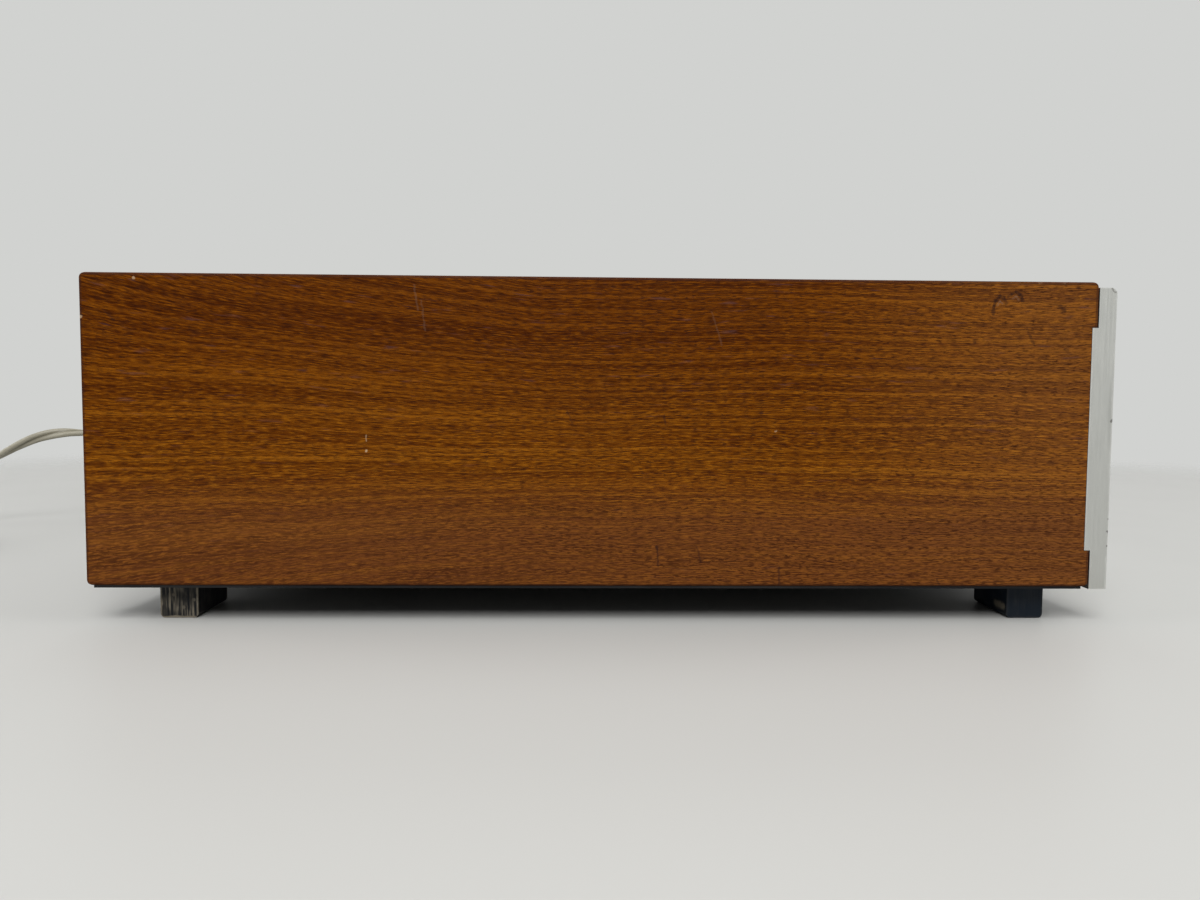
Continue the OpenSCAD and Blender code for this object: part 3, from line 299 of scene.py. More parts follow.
class WoodFigure(Effect):
    """Bands, glows, lines, fibres and pores of wood, on a vector along and across the grain."""

    name = "wood_figure"
    takes = {"Grain": "Vector", "Coarse": "Float", "Short": "Float"}
    gives = ("Band", "Glow", "Line", "Fibre", "Pore")
    CELLS: ClassVar[dict[str, Triple]] = {
        "band": (3.0, 100.0, 3.0), "glow": (40.0, 420.0, 2.0), "line": (4.0, 560.0, 2.0),
        "fibre": (240.0, 1900.0, 3.0), "crowd": (8.0, 60.0, 1.0), "dash": (400.0, 1800.0, 2.0),
        "stroke": (170.0, 1700.0, 2.0), "depth": (25.0, 420.0, 1.0)}

    def wire(self, given: Fields) -> tuple[Field, ...]:
        """Stretches noise along the grain, by its cells to the metre each way and its detail.

        Args:
            given: The group's inputs.

        Returns:
            Its outputs.
        """
        band, glow, line, fibre, crowd, dash, stroke, depth = [
            (given["Grain"] * (along, across, 1.0)).noise(detail=detail, rough=0.55)
            for along, across, detail in self.CELLS.values()]
        least = (crowd - 0.5) * -0.1 + given["Coarse"] * -0.035 + 0.505
        short = dash.ramp(least, least + 0.12) * given["Short"]
        long = stroke.ramp(least + 0.02, least + 0.18) * 0.85
        return band, glow, line, fibre, short.most(long) * depth.spread(0.6, 1.0)


class BoxEdge(Effect):
    """A broken mask along the edges of a box, for wear and for darker edges."""

    name = "box_edge"
    takes = {"Point": "Vector", "Low": "Vector", "High": "Vector", "Reach": "Float",
             "Broken": "Float"}

    def wire(self, given: Fields) -> tuple[Field, ...]:
        """Multiplies the nearness to each pair of faces.

        Args:
            given: The group's inputs.

        Returns:
            Its outputs.
        """
        point = given["Point"]
        near = self.math("MINIMUM", point - given["Low"], given["High"] - point)
        share = near.scaled(self.math("DIVIDE", 1.0, given["Reach"]))
        x, y, z = [self.math("SUBTRACT", 1.0, value, clamp=True) for value in share.split()]
        edge = (x * y).most(y * z).most(x * z)
        rag = point.noise(scale=260.0, detail=3.0, rough=0.6) * given["Broken"]
        return ((edge - rag).ramp(0.0, 0.4),)


class Specks(Effect):
    """Small scattered spots, such as nicks, dust and bare places."""

    name = "specks"
    takes = {"Point": "Vector", "Scale": "Float", "Amount": "Float"}

    def wire(self, given: Fields) -> tuple[Field, ...]:
        """Keeps a share of a Voronoi texture's cells and softens each to a spot.

        Args:
            given: The group's inputs.

        Returns:
            Its outputs.
        """
        cells = self.node("TexVoronoi", {"Vector": given["Point"], "Scale": given["Scale"]}).outputs
        drawn = Field(self, cells["Color"]).split()[0]
        kept = self.math("LESS_THAN", drawn, given["Amount"])
        return (kept * Field(self, cells["Distance"]).ramp(0.38, 0.16),)


class Stroke(Effect):
    """One scratch or stain along a straight line."""

    name = "stroke"
    takes = {"Point": "Vector", "Start": "Vector", "End": "Vector", "Width": "Float"}

    def wire(self, given: Fields) -> tuple[Field, ...]:
        """Measures the distance to the line between the two ends.

        Args:
            given: The group's inputs.

        Returns:
            Its outputs.
        """
        span = given["End"] - given["Start"]
        away = given["Point"] - given["Start"]
        share = self.math("DIVIDE", away.dot(span), span.dot(span) + 1e-12, clamp=True)
        miss = (away - span.scaled(share)).size()
        return ((miss / given["Width"]).ramp(0.6, 0.2),)


class Haze(Effect):
    """Slow clouds and fine grain, for handling, dust and uneven gloss."""

    name = "haze"
    takes = {"Point": "Vector", "Scale": "Float"}
    gives = ("Cloud", "Fine")

    def wire(self, given: Fields) -> tuple[Field, ...]:
        """Layers two noises that are forty times apart in size."""
        point, scale = given["Point"], given["Scale"]
        return point.noise(scale, detail=3.0, rough=0.6), point.noise(scale * 40.0)


class BrushLines(Effect):
    """Fine parallel lines and a few deeper ones, on a vector stretched along the brushing."""

    name = "brush_lines"
    takes = {"Laid": "Vector"}
    gives = ("Line", "Deep")

    def wire(self, given: Fields) -> tuple[Field, ...]:
        """Uses one noise for the lines and a coarser one, cut high, for the deep ones."""
        deep = given["Laid"].noise(scale=0.37, detail=1.0).ramp(0.66, 0.78)
        return given["Laid"].noise(detail=3.0, rough=0.65), deep


class MarkTone(Enum):
    """What a single mark on a surface shows."""

    PALE = tone(176, 150, 120)
    DARK = tone(38, 22, 20)
    # Dusty streaks, and painted highlights inside dents.
    DUSTY = tone(118, 92, 74)
    BARE = tone(120, 112, 98)


PALE, DARK, DUSTY, BARE = MarkTone


@dataclass(frozen=True)
class Mark:
    """A scratch, nick or stain, or a painted highlight or reflection, between two points in
    millimetres.
    """

    shade: MarkTone
    width: float
    strength: float
    start: Triple
    end: Triple


def trails(*rows: tuple) -> tuple[Mark, ...]:
    """Runs marks along points on the left face.

    Args:
        rows: Each mark's shade, width and strength, and then its points' Y and Z in millimetres.

    Returns:
        The marks between neighbouring points.
    """
    marks = []
    for shade, width, strength, *points in rows:
        spots = [(LEFT_FACE, y, z) for y, z in points]
        marks += [Mark(shade, width, strength, *ends) for ends in zip(spots, spots[1:])]
    return tuple(marks)


class Surface(Graph):
    """The shader tree of one material."""

    SOCKETS: ClassVar[dict[str, str]] = {
        "colour": "Base Color", "rough": "Roughness", "metallic": "Metallic", "alpha": "Alpha",
        "specular": "Specular IOR Level", "clear": "Transmission Weight"}
    MARK_WOBBLE: ClassVar[tuple[float, float]] = (700.0, 0.0012)

    def __init__(self, tree: bpy.types.NodeTree) -> None:
        """Keeps the tree, its shader and the piece's own coordinates, in metres.

        Args:
            tree: The material's tree.
        """
        super().__init__(tree)
        self.shader = tree.nodes["Principled BSDF"]
        self.point = self.made("TexCoord", {}, "Object")

    def facing(self, axis: int) -> Field:
        """Gives how far the surface looks along an axis, either way."""
        return self.made("NewGeometry", {}, "Normal").split()[axis].size()

    def haze(self, scale: float) -> list[Field]:
        """Gives clouds of so many to the metre, and fine grain."""
        return list(Haze.place(self, point=self.point, scale=scale).values())

    def specks(self, scale: float, amount: float) -> Field:
        """Gives scattered spots on a share of so many cells to the metre."""
        return Specks.place(self, point=self.point, scale=scale, amount=amount)["Mask"]

    def edge(self, finish: BoxFinish, reach: float, broken: float) -> Field:
        """Gives a mask along the edges of the finish's box."""
        return BoxEdge.place(self, point=self.point, low=finish.low, high=finish.high,
                             reach=reach, broken=broken)["Mask"]

    def layered(self, colour: Feed, layers: dict[Enum, Feed]) -> Feed:
        """Lays tones over a colour.

        Args:
            colour: The colour below them.
            layers: The share of each tone, lowest first.

        Returns:
            The colour with its layers.
        """
        for over, share in layers.items():
            colour = self.mix(share, colour, over.value)
        return colour

    def marked(self, colour: Feed, marks: Sequence[Mark]) -> Feed:
        """Lays single marks over a colour.

        Args:
            colour: The colour below the marks.
            marks: The marks, lowest first.

        Returns:
            The colour with its marks.
        """
        if not marks:
            return colour
        scale, reach = self.MARK_WOBBLE
        noise = self.made("TexNoise", {"Vector": self.point, "Scale": scale}, "Color")
        rough = self.point + (noise - (0.5, 0.5, 0.5)).scaled(reach)
        for mark in marks:
            mask = Stroke.place(self, point=rough, start=metres(mark.start), end=metres(mark.end),
                                width=mark.width * MM)["Mask"]
            colour = self.mix(mask * mark.strength, colour, mark.shade.value)
        return colour

    def coat(self, **values: Feed) -> None:
        """Feeds the shader's sockets, by their short names."""
        for label, value in values.items():
            self.feed(self.shader.inputs[self.SOCKETS[label]], value)

    def bump(self, height: Field, strength: float, depth: float) -> None:
        """Raises the surface by a height mask, where 1 stands so many metres above 0."""
        normal = self.made("Bump", {"Strength": strength, "Distance": depth, "Height": height})
        self.feed(self.shader.inputs["Normal"], normal)


@dataclass(frozen=True)
class Finish:
    """A surface finish, which makes its material at first use.

    Its clouds are counted to the metre, and its relief is the bump's strength and depth in metres.
    """

    clouds: ClassVar[float] = 0.0
    relief: ClassVar[tuple[float, float]] = (0.0, 0.0)
    name: str

    def shade(self, on: Surface) -> None:
        """Feeds the shader's sockets."""
        raise NotImplementedError

    def material(self) -> bpy.types.Material:
        """Gives the finish's material.

        Returns:
            The material.
        """
        label = "finish_" + self.name
        found = bpy.data.materials.get(label)
        if found is None:
            found = bpy.data.materials.new(label)
            found.use_nodes = True
            self.shade(Surface(found.node_tree))
        return found


@dataclass(frozen=True)
class BoxFinish(Finish):
    """A finish that follows the edges of one node's box."""

    low: Triple
    high: Triple


class WoodTone(Enum):
    """What each layer of the veneer shows."""

    DARK_BAND = tone(89, 42, 2)
    PALE_BAND = tone(119, 66, 6)
    GLOW = tone(128, 72, 8)
    PALE_FIBRE = tone(154, 95, 16)
    DARK_FIBRE = tone(56, 23, 3)
    PALE_LINE = tone(148, 90, 17)
    DARK_LINE = tone(70, 31, 3)
    CLOUD = tone(83, 41, 4)
    # A painted reflection that lightens each board towards its front end.
    FADED_FRONT = tone(168, 118, 74)
    # A painted floor reflection, laid on each board's brown band.
    LOWER = tone(108, 64, 34)
    PORE = tone(44, 18, 8)
    BLOOM = tone(80, 54, 54)
    NICK = tone(60, 34, 26)
    EDGE = tone(52, 28, 20)


@dataclass(frozen=True)
class Veneer(BoxFinish):
    """Oiled walnut-like veneer on one board, with its grain front to back."""

    clouds = 16.0
    relief = (0.3, 0.0001)
    REAR_TO_FRONT: ClassVar[tuple[float, float]] = (0.182, 0.03)
    WAVES: ClassVar[tuple[tuple[Triple, float], ...]] = (
        ((5.0, 10.0, 1.0), 0.014), ((21.0, 45.0, 1.0), 0.0026))
    # Multiplied as painted shade over the upper middle of the sides and the far half of the top.
    UPPER_TINT: ClassVar[Colour] = (0.64, 0.54, 0.38, 1.0)
    LIPPING_SLICE: ClassVar[float] = 0.4
    across: Triple = (0.0, 0.0, 1.0)
    offset: float = 0.0
    heart: float = 0.062
    drift: float = -0.0023
    spread: float = 1.5
    # The band across the grain that takes painted shade; the bloom grows across it too.
    deep: tuple[float, float] = (0.045, 0.105)
    # The band that takes a painted floor reflection and coarser pores: low on the sides, near the
    # left edge on the top.
    brown: tuple[float, float] = (0.055, 0.03)
    marks: tuple[Mark, ...] = ()

    def grain(self, on: Surface) -> Field:
        """Gives the vector along and across the grain, which closes up towards the front.

        Args:
            on: The surface to shade.

        Returns:
            The vector that the figure is drawn on.
        """
        point = on.point
        along = point.split()[1]
        across = point.dot(self.across) + self.offset
        heart = along.ramp(*self.REAR_TO_FRONT, self.heart, self.heart + self.drift, smooth=False)
        spread = along.ramp(*self.REAR_TO_FRONT, 1.0, self.spread, smooth=False)
        laid = (across - heart) * spread
        flat = on.join(along, across, self.offset)
        for scale, reach in self.WAVES:
            laid = laid + ((flat * scale).noise() - 0.5) * reach
        through = Vector((0.0, 1.0, 0.0)).cross(Vector(self.across))
        lipping = on.join(across, point.dot(tuple(through)), self.LIPPING_SLICE)
        ends = on.facing(1).ramp(0.5, 0.7)
        return on.mix_vector(ends, on.join(along, laid, self.offset), lipping)

    def shade(self, on: Surface) -> None:
        """Lays bands, fibres, lines, pores, edges, marks, painted shade and painted reflections.

        Args:
            on: The surface to shade.
        """
        point = on.point
        height, length = point.dot(self.across), point.split()[1]
        # The brown band: a painted floor reflection, and coarser pores.
        lower = height.ramp(*self.brown)
        grain = self.grain(on)
        short = (length + (point.noise(scale=14.0) - 0.5) * 0.2).ramp(0.13, -0.04, 0.7, 1.0)
        coarse = lower * length.ramp(-0.05, 0.12, 1.0, 1.5)
        figure = WoodFigure.place(on, grain=grain, coarse=coarse, short=short)
        band, glow, line, fibre, pore = figure.values()
        cloud, _ = on.haze(self.clouds)
        dusty = (grain * (70.0, 420.0, 1.0)).noise(rough=0.6)
        dark, pale = WoodTone.DARK_BAND.value, WoodTone.PALE_BAND.value
        colour = on.layered(on.mix(band.spread(), dark, pale), {
            WoodTone.GLOW: glow.ramp(0.4, 0.7) * 0.3,
            WoodTone.PALE_FIBRE: fibre.ramp(0.52, 0.28, 0.0, 0.95),
            WoodTone.DARK_FIBRE: fibre.ramp(0.48, 0.68, 0.0, 0.9),
            WoodTone.PALE_LINE: line.ramp(0.5, 0.68, 0.0, 0.6),
            WoodTone.DARK_LINE: line.ramp(0.5, 0.34, 0.0, 0.45),
            WoodTone.CLOUD: cloud.ramp(0.45, 0.75) * 0.2})
        # Painted shade over the board's deep band, towards the middle of its length.
        painted_upper_shade = height.ramp(*self.deep) * length.ramp(-0.15, -0.02, 0.25, 1.0)
        colour = on.layered(on.mix(painted_upper_shade, colour, self.UPPER_TINT, "MULTIPLY"), {
            # Painted reflection towards the front end.
            WoodTone.FADED_FRONT: length.ramp(-0.05, -0.158, 0.0, 0.12),
            # Painted floor reflection on the brown band.
            WoodTone.LOWER: lower * 0.55,
            WoodTone.PORE: pore * 0.84,
            WoodTone.BLOOM: dusty.ramp(0.62, 0.74) * height.ramp(*self.deep, 0.12, 0.45),
            WoodTone.NICK: on.specks(scale=160.0, amount=0.012) * 0.5,
            WoodTone.EDGE: on.edge(self, reach=0.0014, broken=0.6) * 0.6})
        on.coat(colour=on.marked(colour, self.marks), specular=0.03,
                rough=cloud.spread(0.4, 0.52) + pore * 0.12)
        on.bump(glow * 0.35 - pore, *self.relief)


@dataclass(frozen=True)
class PlainWood(Finish):
    """Planed softwood."""

    relief = (0.3, 0.0001)
    SLICE: ClassVar[float] = 0.7
    pale: Colour = tone(196, 164, 118)
    dark: Colour = tone(158, 118, 74)

    def shade(self, on: Surface) -> None:
        """Draws the figure along the piece's length.

        Args:
            on: The surface to shade.
        """
        x, y, z = on.point.split()
        grain = on.join(y, x + z, self.SLICE)
        figure = WoodFigure.place(on, grain=grain, coarse=0.0, short=0.5)
        band, glow, _, _, pore = figure.values()
        colour = on.mix(band.ramp(0.35, 0.65), self.pale, self.dark)
        on.coat(colour=on.mix(pore * 0.3, colour, self.dark), rough=glow.spread(0.6, 0.75))
        on.bump(glow, *self.relief)


@dataclass(frozen=True)
class WornPaint(BoxFinish):
    """Brushed black paint on a small block, worn at its edges and down its sides."""

    clouds = 90.0
    relief = (0.25, 0.00012)
    STREAKS: ClassVar[Triple] = (1500.0, 1500.0, 90.0)
    coat: Colour = tone(17, 25, 34)
    worn: Colour = tone(122, 114, 100)
    wear: float = 0.2
    marks: tuple[Mark, ...] = ()

    def shade(self, on: Surface) -> None:
        """Lets the worn tone through in upright streaks, at the edges and in specks.

        Args:
            on: The surface to shade.
        """
        point = on.point
        outer = on.facing(0).ramp(0.5, 0.8, 0.15, 1.0)
        streak = (point * self.STREAKS).noise(detail=3.0, rough=0.6)
        patch = point.noise(scale=110.0).ramp(0.38, 0.58, 0.2, 1.0)
        rubbed = streak.ramp(0.42, 0.66) * (patch * outer) * self.wear
        edge = on.edge(self, reach=0.0016, broken=0.9) * self.wear
        bare = edge.most(on.specks(scale=420.0, amount=self.wear * 0.03) * 0.5)
        colour = on.mix(rubbed.most(bare), self.coat, self.worn)
        cloud, _ = on.haze(self.clouds)
        on.coat(colour=on.marked(colour, self.marks), specular=0.13,
                rough=cloud.spread(0.38, 0.62))
        on.bump(streak, *self.relief)


@dataclass(frozen=True)
class Enamel(Finish):
    """Stoved paint on sheet or castings, with a little dust."""

    clouds = 22.0
    relief = (0.12, 0.0001)
    coat: Colour
    dust: Colour = tone(120, 116, 108)
    gloss: float = 0.42
    settled: float = 0.1
    sheen: float = 0.5

    def shade(self, on: Surface) -> None:
        """Clouds the paint with dust and gives it a fine orange peel.

        Args:
            on: The surface to shade.
        """
        cloud, fine = on.haze(self.clouds)
        film = cloud.ramp(0.4, 0.75) * self.settled
        share = film.most(on.specks(scale=300.0, amount=0.03) * 0.25)
        on.coat(colour=on.mix(share, self.coat, self.dust), specular=self.sheen,
                rough=cloud.ramp(0.3, 0.75, self.gloss - 0.06, self.gloss + 0.14))
        on.bump(fine, *self.relief)


class MetalTone(Enum):
    """What each layer of brushed aluminium shows."""

    BRUSHED = tone(184, 184, 180)
    SAWN = tone(184, 185, 181)
    SCORED = tone(140, 140, 136)
    STAINED = tone(160, 157, 148)
    # Laid lighter along the box's edges.
    RUBBED = tone(225, 225, 222)


@dataclass(frozen=True)
class BrushedAluminium(BoxFinish):
    """Anodised aluminium brushed along X, with sawn ends."""

    clouds = 45.0
    relief = (0.16, 0.00006)
    SAWN: ClassVar[Triple] = (0.0, 1300.0, 60.0)
    metal: Colour = tone(199, 199, 195)
    lines: Triple = (5.0, 1100.0, 1100.0)
    marks: tuple[Mark, ...] = ()

    def shade(self, on: Surface) -> None:
        """Lays lines along the front and upright saw marks on the ends.

        Args:
            on: The surface to shade.
        """
        point = on.point
        ends = on.facing(0).ramp(0.5, 0.7)
        laid = on.mix_vector(ends, point * self.lines, point * self.SAWN)
        line, deep = BrushLines.place(on, laid=laid).values()
        cloud, _ = on.haze(self.clouds)
        colour = on.layered(self.metal, {
            MetalTone.BRUSHED: line.spread() * on.math("SUBTRACT", 1.0, ends * 0.65),
            MetalTone.SAWN: ends * 0.6,
            MetalTone.SCORED: deep * 0.2,
            MetalTone.STAINED: cloud.ramp(0.5, 0.75) * 0.22,
            MetalTone.RUBBED: on.edge(self, reach=0.0012, broken=1.0) * 0.3})
        on.coat(colour=on.marked(colour, self.marks), metallic=1.0,
                rough=line.spread(0.3, 0.44) + ends * 0.12)
        on.bump(line, *self.relief)


@dataclass(frozen=True)
class TurnedMetal(Finish):
    """Metal turned about an axis along Y, with rings that catch the light."""

    clouds = 80.0
    relief = (0.2, 0.00005)
    RINGS: ClassVar[tuple[float, float]] = (1900.0, 1500.0)
    centre: tuple[float, float]
    metal: Colour = tone(214, 214, 210)
    shadow: Colour = tone(176, 176, 171)
    dull: Colour = tone(150, 146, 138)
    gloss: float = 0.26

    def shade(self, on: Surface) -> None:
        """Draws rings by the distance from the axis, and lines round the sides.

        Args:
            on: The surface to shade.
        """
        point = on.point
        axis = (self.centre[0] * MM, 0.0, self.centre[1] * MM)
        radius = ((point - axis) * (1.0, 0.0, 1.0)).size()
        out, along = self.RINGS
        rings = on.join(radius * out, point.split()[1] * along, 0.0)
        line, _ = BrushLines.place(on, laid=rings).values()
        cloud, _ = on.haze(self.clouds)
        colour = on.mix(line.spread(), self.metal, self.shadow)
        on.coat(colour=on.mix(cloud.ramp(0.5, 0.8) * 0.2, colour, self.dull), metallic=1.0,
                rough=line.spread(self.gloss - 0.05, self.gloss + 0.1))
        on.bump(line, *self.relief)


@dataclass(frozen=True)
class PlatedSheet(Finish):
    """Plated or bare metal sheet and small turned parts, dulled with age."""

    clouds = 60.0
    relief = (0.08, 0.00005)
    metal: Colour = tone(196, 196, 190)
    dull: Colour = tone(150, 149, 142)
    gloss: float = 0.34

    def shade(self, on: Surface) -> None:
        """Clouds the plating and scatters dull specks over it.

        Args:
            on: The surface to shade.
        """
        cloud, fine = on.haze(self.clouds)
        share = cloud.ramp(0.4, 0.75).most(on.specks(scale=500.0, amount=0.06) * 0.6)
        on.coat(colour=on.mix(share, self.metal, self.dull), metallic=1.0,
                rough=cloud.ramp(0.3, 0.75, self.gloss - 0.05, self.gloss + 0.15))
        on.bump(fine, *self.relief)


@dataclass(frozen=True)
class MouldedPlastic(Finish):
    """Moulded plastic or rubber with a fine skin."""

    clouds = 120.0
    relief = (0.15, 0.00005)
    body: Colour
    faded: Colour
    gloss: float = 0.4

    def shade(self, on: Surface) -> None:
        """Fades the colour in clouds and roughens the skin.

        Args:
            on: The surface to shade.
        """
        cloud, fine = on.haze(self.clouds)
        on.coat(colour=on.mix(cloud.ramp(0.35, 0.75), self.body, self.faded), specular=0.4,
                rough=cloud.ramp(0.3, 0.75, self.gloss - 0.06, self.gloss + 0.12))
        on.bump(fine, *self.relief)


@dataclass(frozen=True)
class AmberLens(Finish):
    """Clear amber plastic."""

    clouds = 200.0
    relief = (0.05, 0.00005)
    pale: Colour = tone(236, 142, 30)
    dark: Colour = tone(205, 96, 14)

    def shade(self, on: Surface) -> None:
        """Deepens the amber in soft clouds.

        Args:
            on: The surface to shade.
        """
        cloud, fine = on.haze(self.clouds)
        on.coat(colour=on.mix(cloud.spread(), self.pale, self.dark), clear=0.55,
                rough=cloud.spread(0.08, 0.2))
        on.bump(fine, *self.relief)


@dataclass(frozen=True)
class Laminate(Finish):
    """Brown paper laminate with a faint weave."""

    clouds = 40.0
    relief = (0.1, 0.00005)
    WARP: ClassVar[Triple] = (900.0, 90.0, 90.0)
    WEFT: ClassVar[Triple] = (90.0, 900.0, 900.0)
    body: Colour = tone(112, 74, 38)
    weave: Colour = tone(86, 54, 26)

    def shade(self, on: Surface) -> None:
        """Crosses two sets of threads and clouds them.

        Args:
            on: The surface to shade.
        """
        warp, weft = [(on.point * threads).noise(detail=1.0) for threads in (self.WARP, self.WEFT)]
        cloth = (warp + weft) * 0.5
        cloud, _ = on.haze(self.clouds)
        colour = on.mix(cloth.ramp(0.35, 0.65), self.body, self.weave)
        on.coat(colour=on.mix(cloud * 0.3, colour, self.weave),
                rough=cloud.spread(0.35, 0.5))
        on.bump(cloth, *self.relief)


@dataclass(frozen=True)
class Winding(Finish):
    """Layers of lacquered copper wire, wound round an upright axis."""

    clouds = 70.0
    relief = (0.5, 0.0003)
    gap: Colour = tone(96, 44, 20)
    wire: Colour = tone(176, 96, 48)
    grime: Colour = tone(84, 42, 22)
    pitch: float = 0.0008

    def shade(self, on: Surface) -> None:
        """Draws the turns as level lines.

        Args:
            on: The surface to shade.
        """
        height = on.point.split()[2]
        share = on.math("SINE", height * (2 * math.pi / self.pitch)).ramp(-1.0, 1.0)
        cloud, _ = on.haze(self.clouds)
        on.coat(colour=on.mix(cloud * 0.4, on.mix(share, self.gap, self.wire), self.grime),
                metallic=0.7, rough=cloud.spread(0.3, 0.45))
        on.bump(share, *self.relief)


@dataclass(frozen=True)
class FlexVinyl(Finish):
    """Grey-brown vinyl of a flat twin flex, grubby in clouds, with painted shade in its groove."""

    clouds = 55.0
    relief = (0.1, 0.00006)
    FLOW: ClassVar[tuple[float, float]] = (30.0, 26.0)
    pale: Colour = tone(160, 156, 140)
    dark: Colour = tone(142, 137, 121)
    grubby: Colour = tone(120, 114, 96)
    # Painted shade in the groove between the cores.
    groove: Colour = tone(92, 86, 66)

    def shade(self, on: Surface) -> None:
        """Follows the flex by its own map: U along it and V round it.

        Args:
            on: The surface to shade.
        """
        along, around, _ = on.made("UVMap", {}, "UV", uv_map=MainsLead.MAP).split()
        groove = on.math("COSINE", around * (4 * math.pi)).ramp(0.72, 0.98)
        cloud, fine = on.haze(self.clouds)
        flow = on.join(along * self.FLOW[0], around * self.FLOW[1], 0.0).noise()
        colour = on.mix(flow.spread(), self.pale, self.dark)
        colour = on.mix(cloud.ramp(0.45, 0.75) * 0.4, colour, self.grubby)
        # Painted shade in the groove.
        on.coat(colour=on.mix(groove * 0.6, colour, self.groove), specular=0.4,
                rough=cloud.ramp(0.3, 0.75, 0.36, 0.52))
        on.bump(fine, *self.relief)


@dataclass(frozen=True)
class PrintedInk(Finish):
    """Screen-printed ink, thinner in places."""

    clouds = 400.0
    full: Colour
    thin: Colour

    def shade(self, on: Surface) -> None:
        """Thins the ink in fine clouds.

        Args:
            on: The surface to shade.
        """
        cloud, _ = on.haze(self.clouds)
        on.coat(colour=on.mix(cloud.ramp(0.45, 0.8), self.full, self.thin),
                rough=cloud.spread(0.5, 0.65))


@dataclass(frozen=True)
class StudioFloor(Finish):
    """Pale painted floor that fades into the background."""

    clouds = 3.0
    pale: Colour = tone(190, 190, 187)
    dark: Colour = tone(185, 185, 182)
    near: float = 0.62
    far: float = 0.95

    def shade(self, on: Surface) -> None:
        """Fades by the distance from the middle.

        Args:
            on: The surface to shade.
        """
        cloud, _ = on.haze(self.clouds)
        on.coat(colour=on.mix(cloud, self.pale, self.dark), rough=cloud.spread(0.4, 0.5),
                specular=0.3, alpha=on.point.size().ramp(self.near, self.far, 1.0, 0.0))


BLACK_INK = PrintedInk("black_ink", tone(24, 24, 26), tone(52, 52, 54))
WHITE_INK = PrintedInk("white_ink", tone(208, 206, 198), tone(168, 166, 158))
SLOT_FINISHES: dict[str, Finish] = {finish.name: finish for finish in (
    PlainWood("bare_wood"),
    Enamel("black_steel", tone(17, 17, 19), settled=0.05, sheen=0.15),
    Enamel("rear_steel", tone(40, 40, 42), gloss=0.48, settled=0.16),
    PlatedSheet("plated_steel"),
    PlatedSheet("screw_steel", tone(182, 181, 176), tone(128, 124, 114), 0.3),
    PlatedSheet("shaft_brass", tone(206, 172, 96), tone(150, 116, 58), 0.28),
    PlatedSheet("control_shell", tone(190, 182, 156), tone(150, 140, 110), 0.36),
    MouldedPlastic("ivory_plastic", tone(222, 212, 186), tone(204, 190, 156)),
    AmberLens("lens_amber"),
    PlatedSheet("socket_steel", tone(204, 202, 196), tone(160, 156, 146), 0.24),
    Enamel("core_steel", tone(58, 54, 52), gloss=0.5, settled=0.25),
    Winding("winding_copper"),
    MouldedPlastic("can_sleeve", tone(42, 66, 92), tone(58, 82, 104), 0.32),
    Enamel("sink_black", tone(26, 26, 28), gloss=0.46, settled=0.14),
    Laminate("board_brown"),
    Laminate("socket_laminate", tone(74, 48, 30), tone(54, 34, 22)),
    MouldedPlastic("black_plastic", tone(26, 26, 27), tone(40, 40, 41), 0.36),
    MouldedPlastic("relief_rubber", tone(64, 62, 58), tone(84, 81, 75), 0.52),
    FlexVinyl("flex_vinyl"))}


def placed(name: str, data: bpy.types.ID, place: Matrix = Matrix.Identity(4)) -> Piece:
    """Puts a new object in the scene.

    Args:
        name: The object's name.
        data: Its mesh, camera or lamp.
        place: Where it stands and how it is turned.

    Returns:
        The new object.
    """
    made = bpy.data.objects.new(name, data)
    made.matrix_world = place
    bpy.context.scene.collection.objects.link(made)
    return made


def named(mesh: Mesh, name: str) -> Piece:
    """Makes an object of a bmesh, with its place in its mesh.

    Args:
        mesh: The shape, which is freed.
        name: The object's name.

    Returns:
        The new object, in the scene.
    """
    data = bpy.data.meshes.new(name)
    mesh.to_mesh(data)
    mesh.free()
    return placed(name, data)


@dataclass
class Assembly:
    """A sub-assembly that dresses its CAD nodes and adds its own pieces."""

    frame: dict

    def dress(self, finish: Finish, *nodes: str) -> None:
        """Gives CAD nodes a finish.

        Args:
            finish: The finish to give.
            nodes: The nodes' names.
        """
        for name in nodes:
            slots = self.frame["nodes"][name].data.materials
            slots.clear()
            slots.append(finish.material())
            LOG.info("dressed %s with %s", name, finish.name)

    def dress_by_slot(self, *nodes: str) -> None:
        """Gives CAD nodes the finish of their own material slot.

        Args:
            nodes: The nodes' names.
        """
        slots = {part["node"]: part["material_slot"] for part in self.frame["record"]["subparts"]}
        for name in nodes:
            self.dress(SLOT_FINISHES[slots[name]], name)

    def dress_by_box(self, kind: type[BoxFinish], name: str, node: str, **laid: object) -> None:
        """Gives a CAD node a finish of its own that follows its box."""
        low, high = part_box(node)
        self.dress(kind(name, tuple(low), tuple(high), **laid), node)

    def add(self, mesh: Mesh, name: str, finish: Finish, body: str, slot: str) -> Piece:
        """Adds a piece to the object.

        Args:
            mesh: The piece's shape.
            name: The piece's name.
            finish: Its finish.
            body: The CAD body that it rides on.
            slot: The record's material slot that it belongs to; not used.

        Returns:
            The new piece.
        """
        made = named(mesh, name)
        made.data.materials.append(finish.material())
        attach(made, body)
        LOG.info("added %s on %s: %d faces", name, body, len(made.data.polygons))
        return made


class Facing(Enum):
    """Which way a printed mark looks."""

    FRONT = Matrix.Rotation(math.pi / 2, 4, "X")
    REAR = Matrix.Rotation(math.pi, 4, "Z") @ Matrix.Rotation(math.pi / 2, 4, "X")


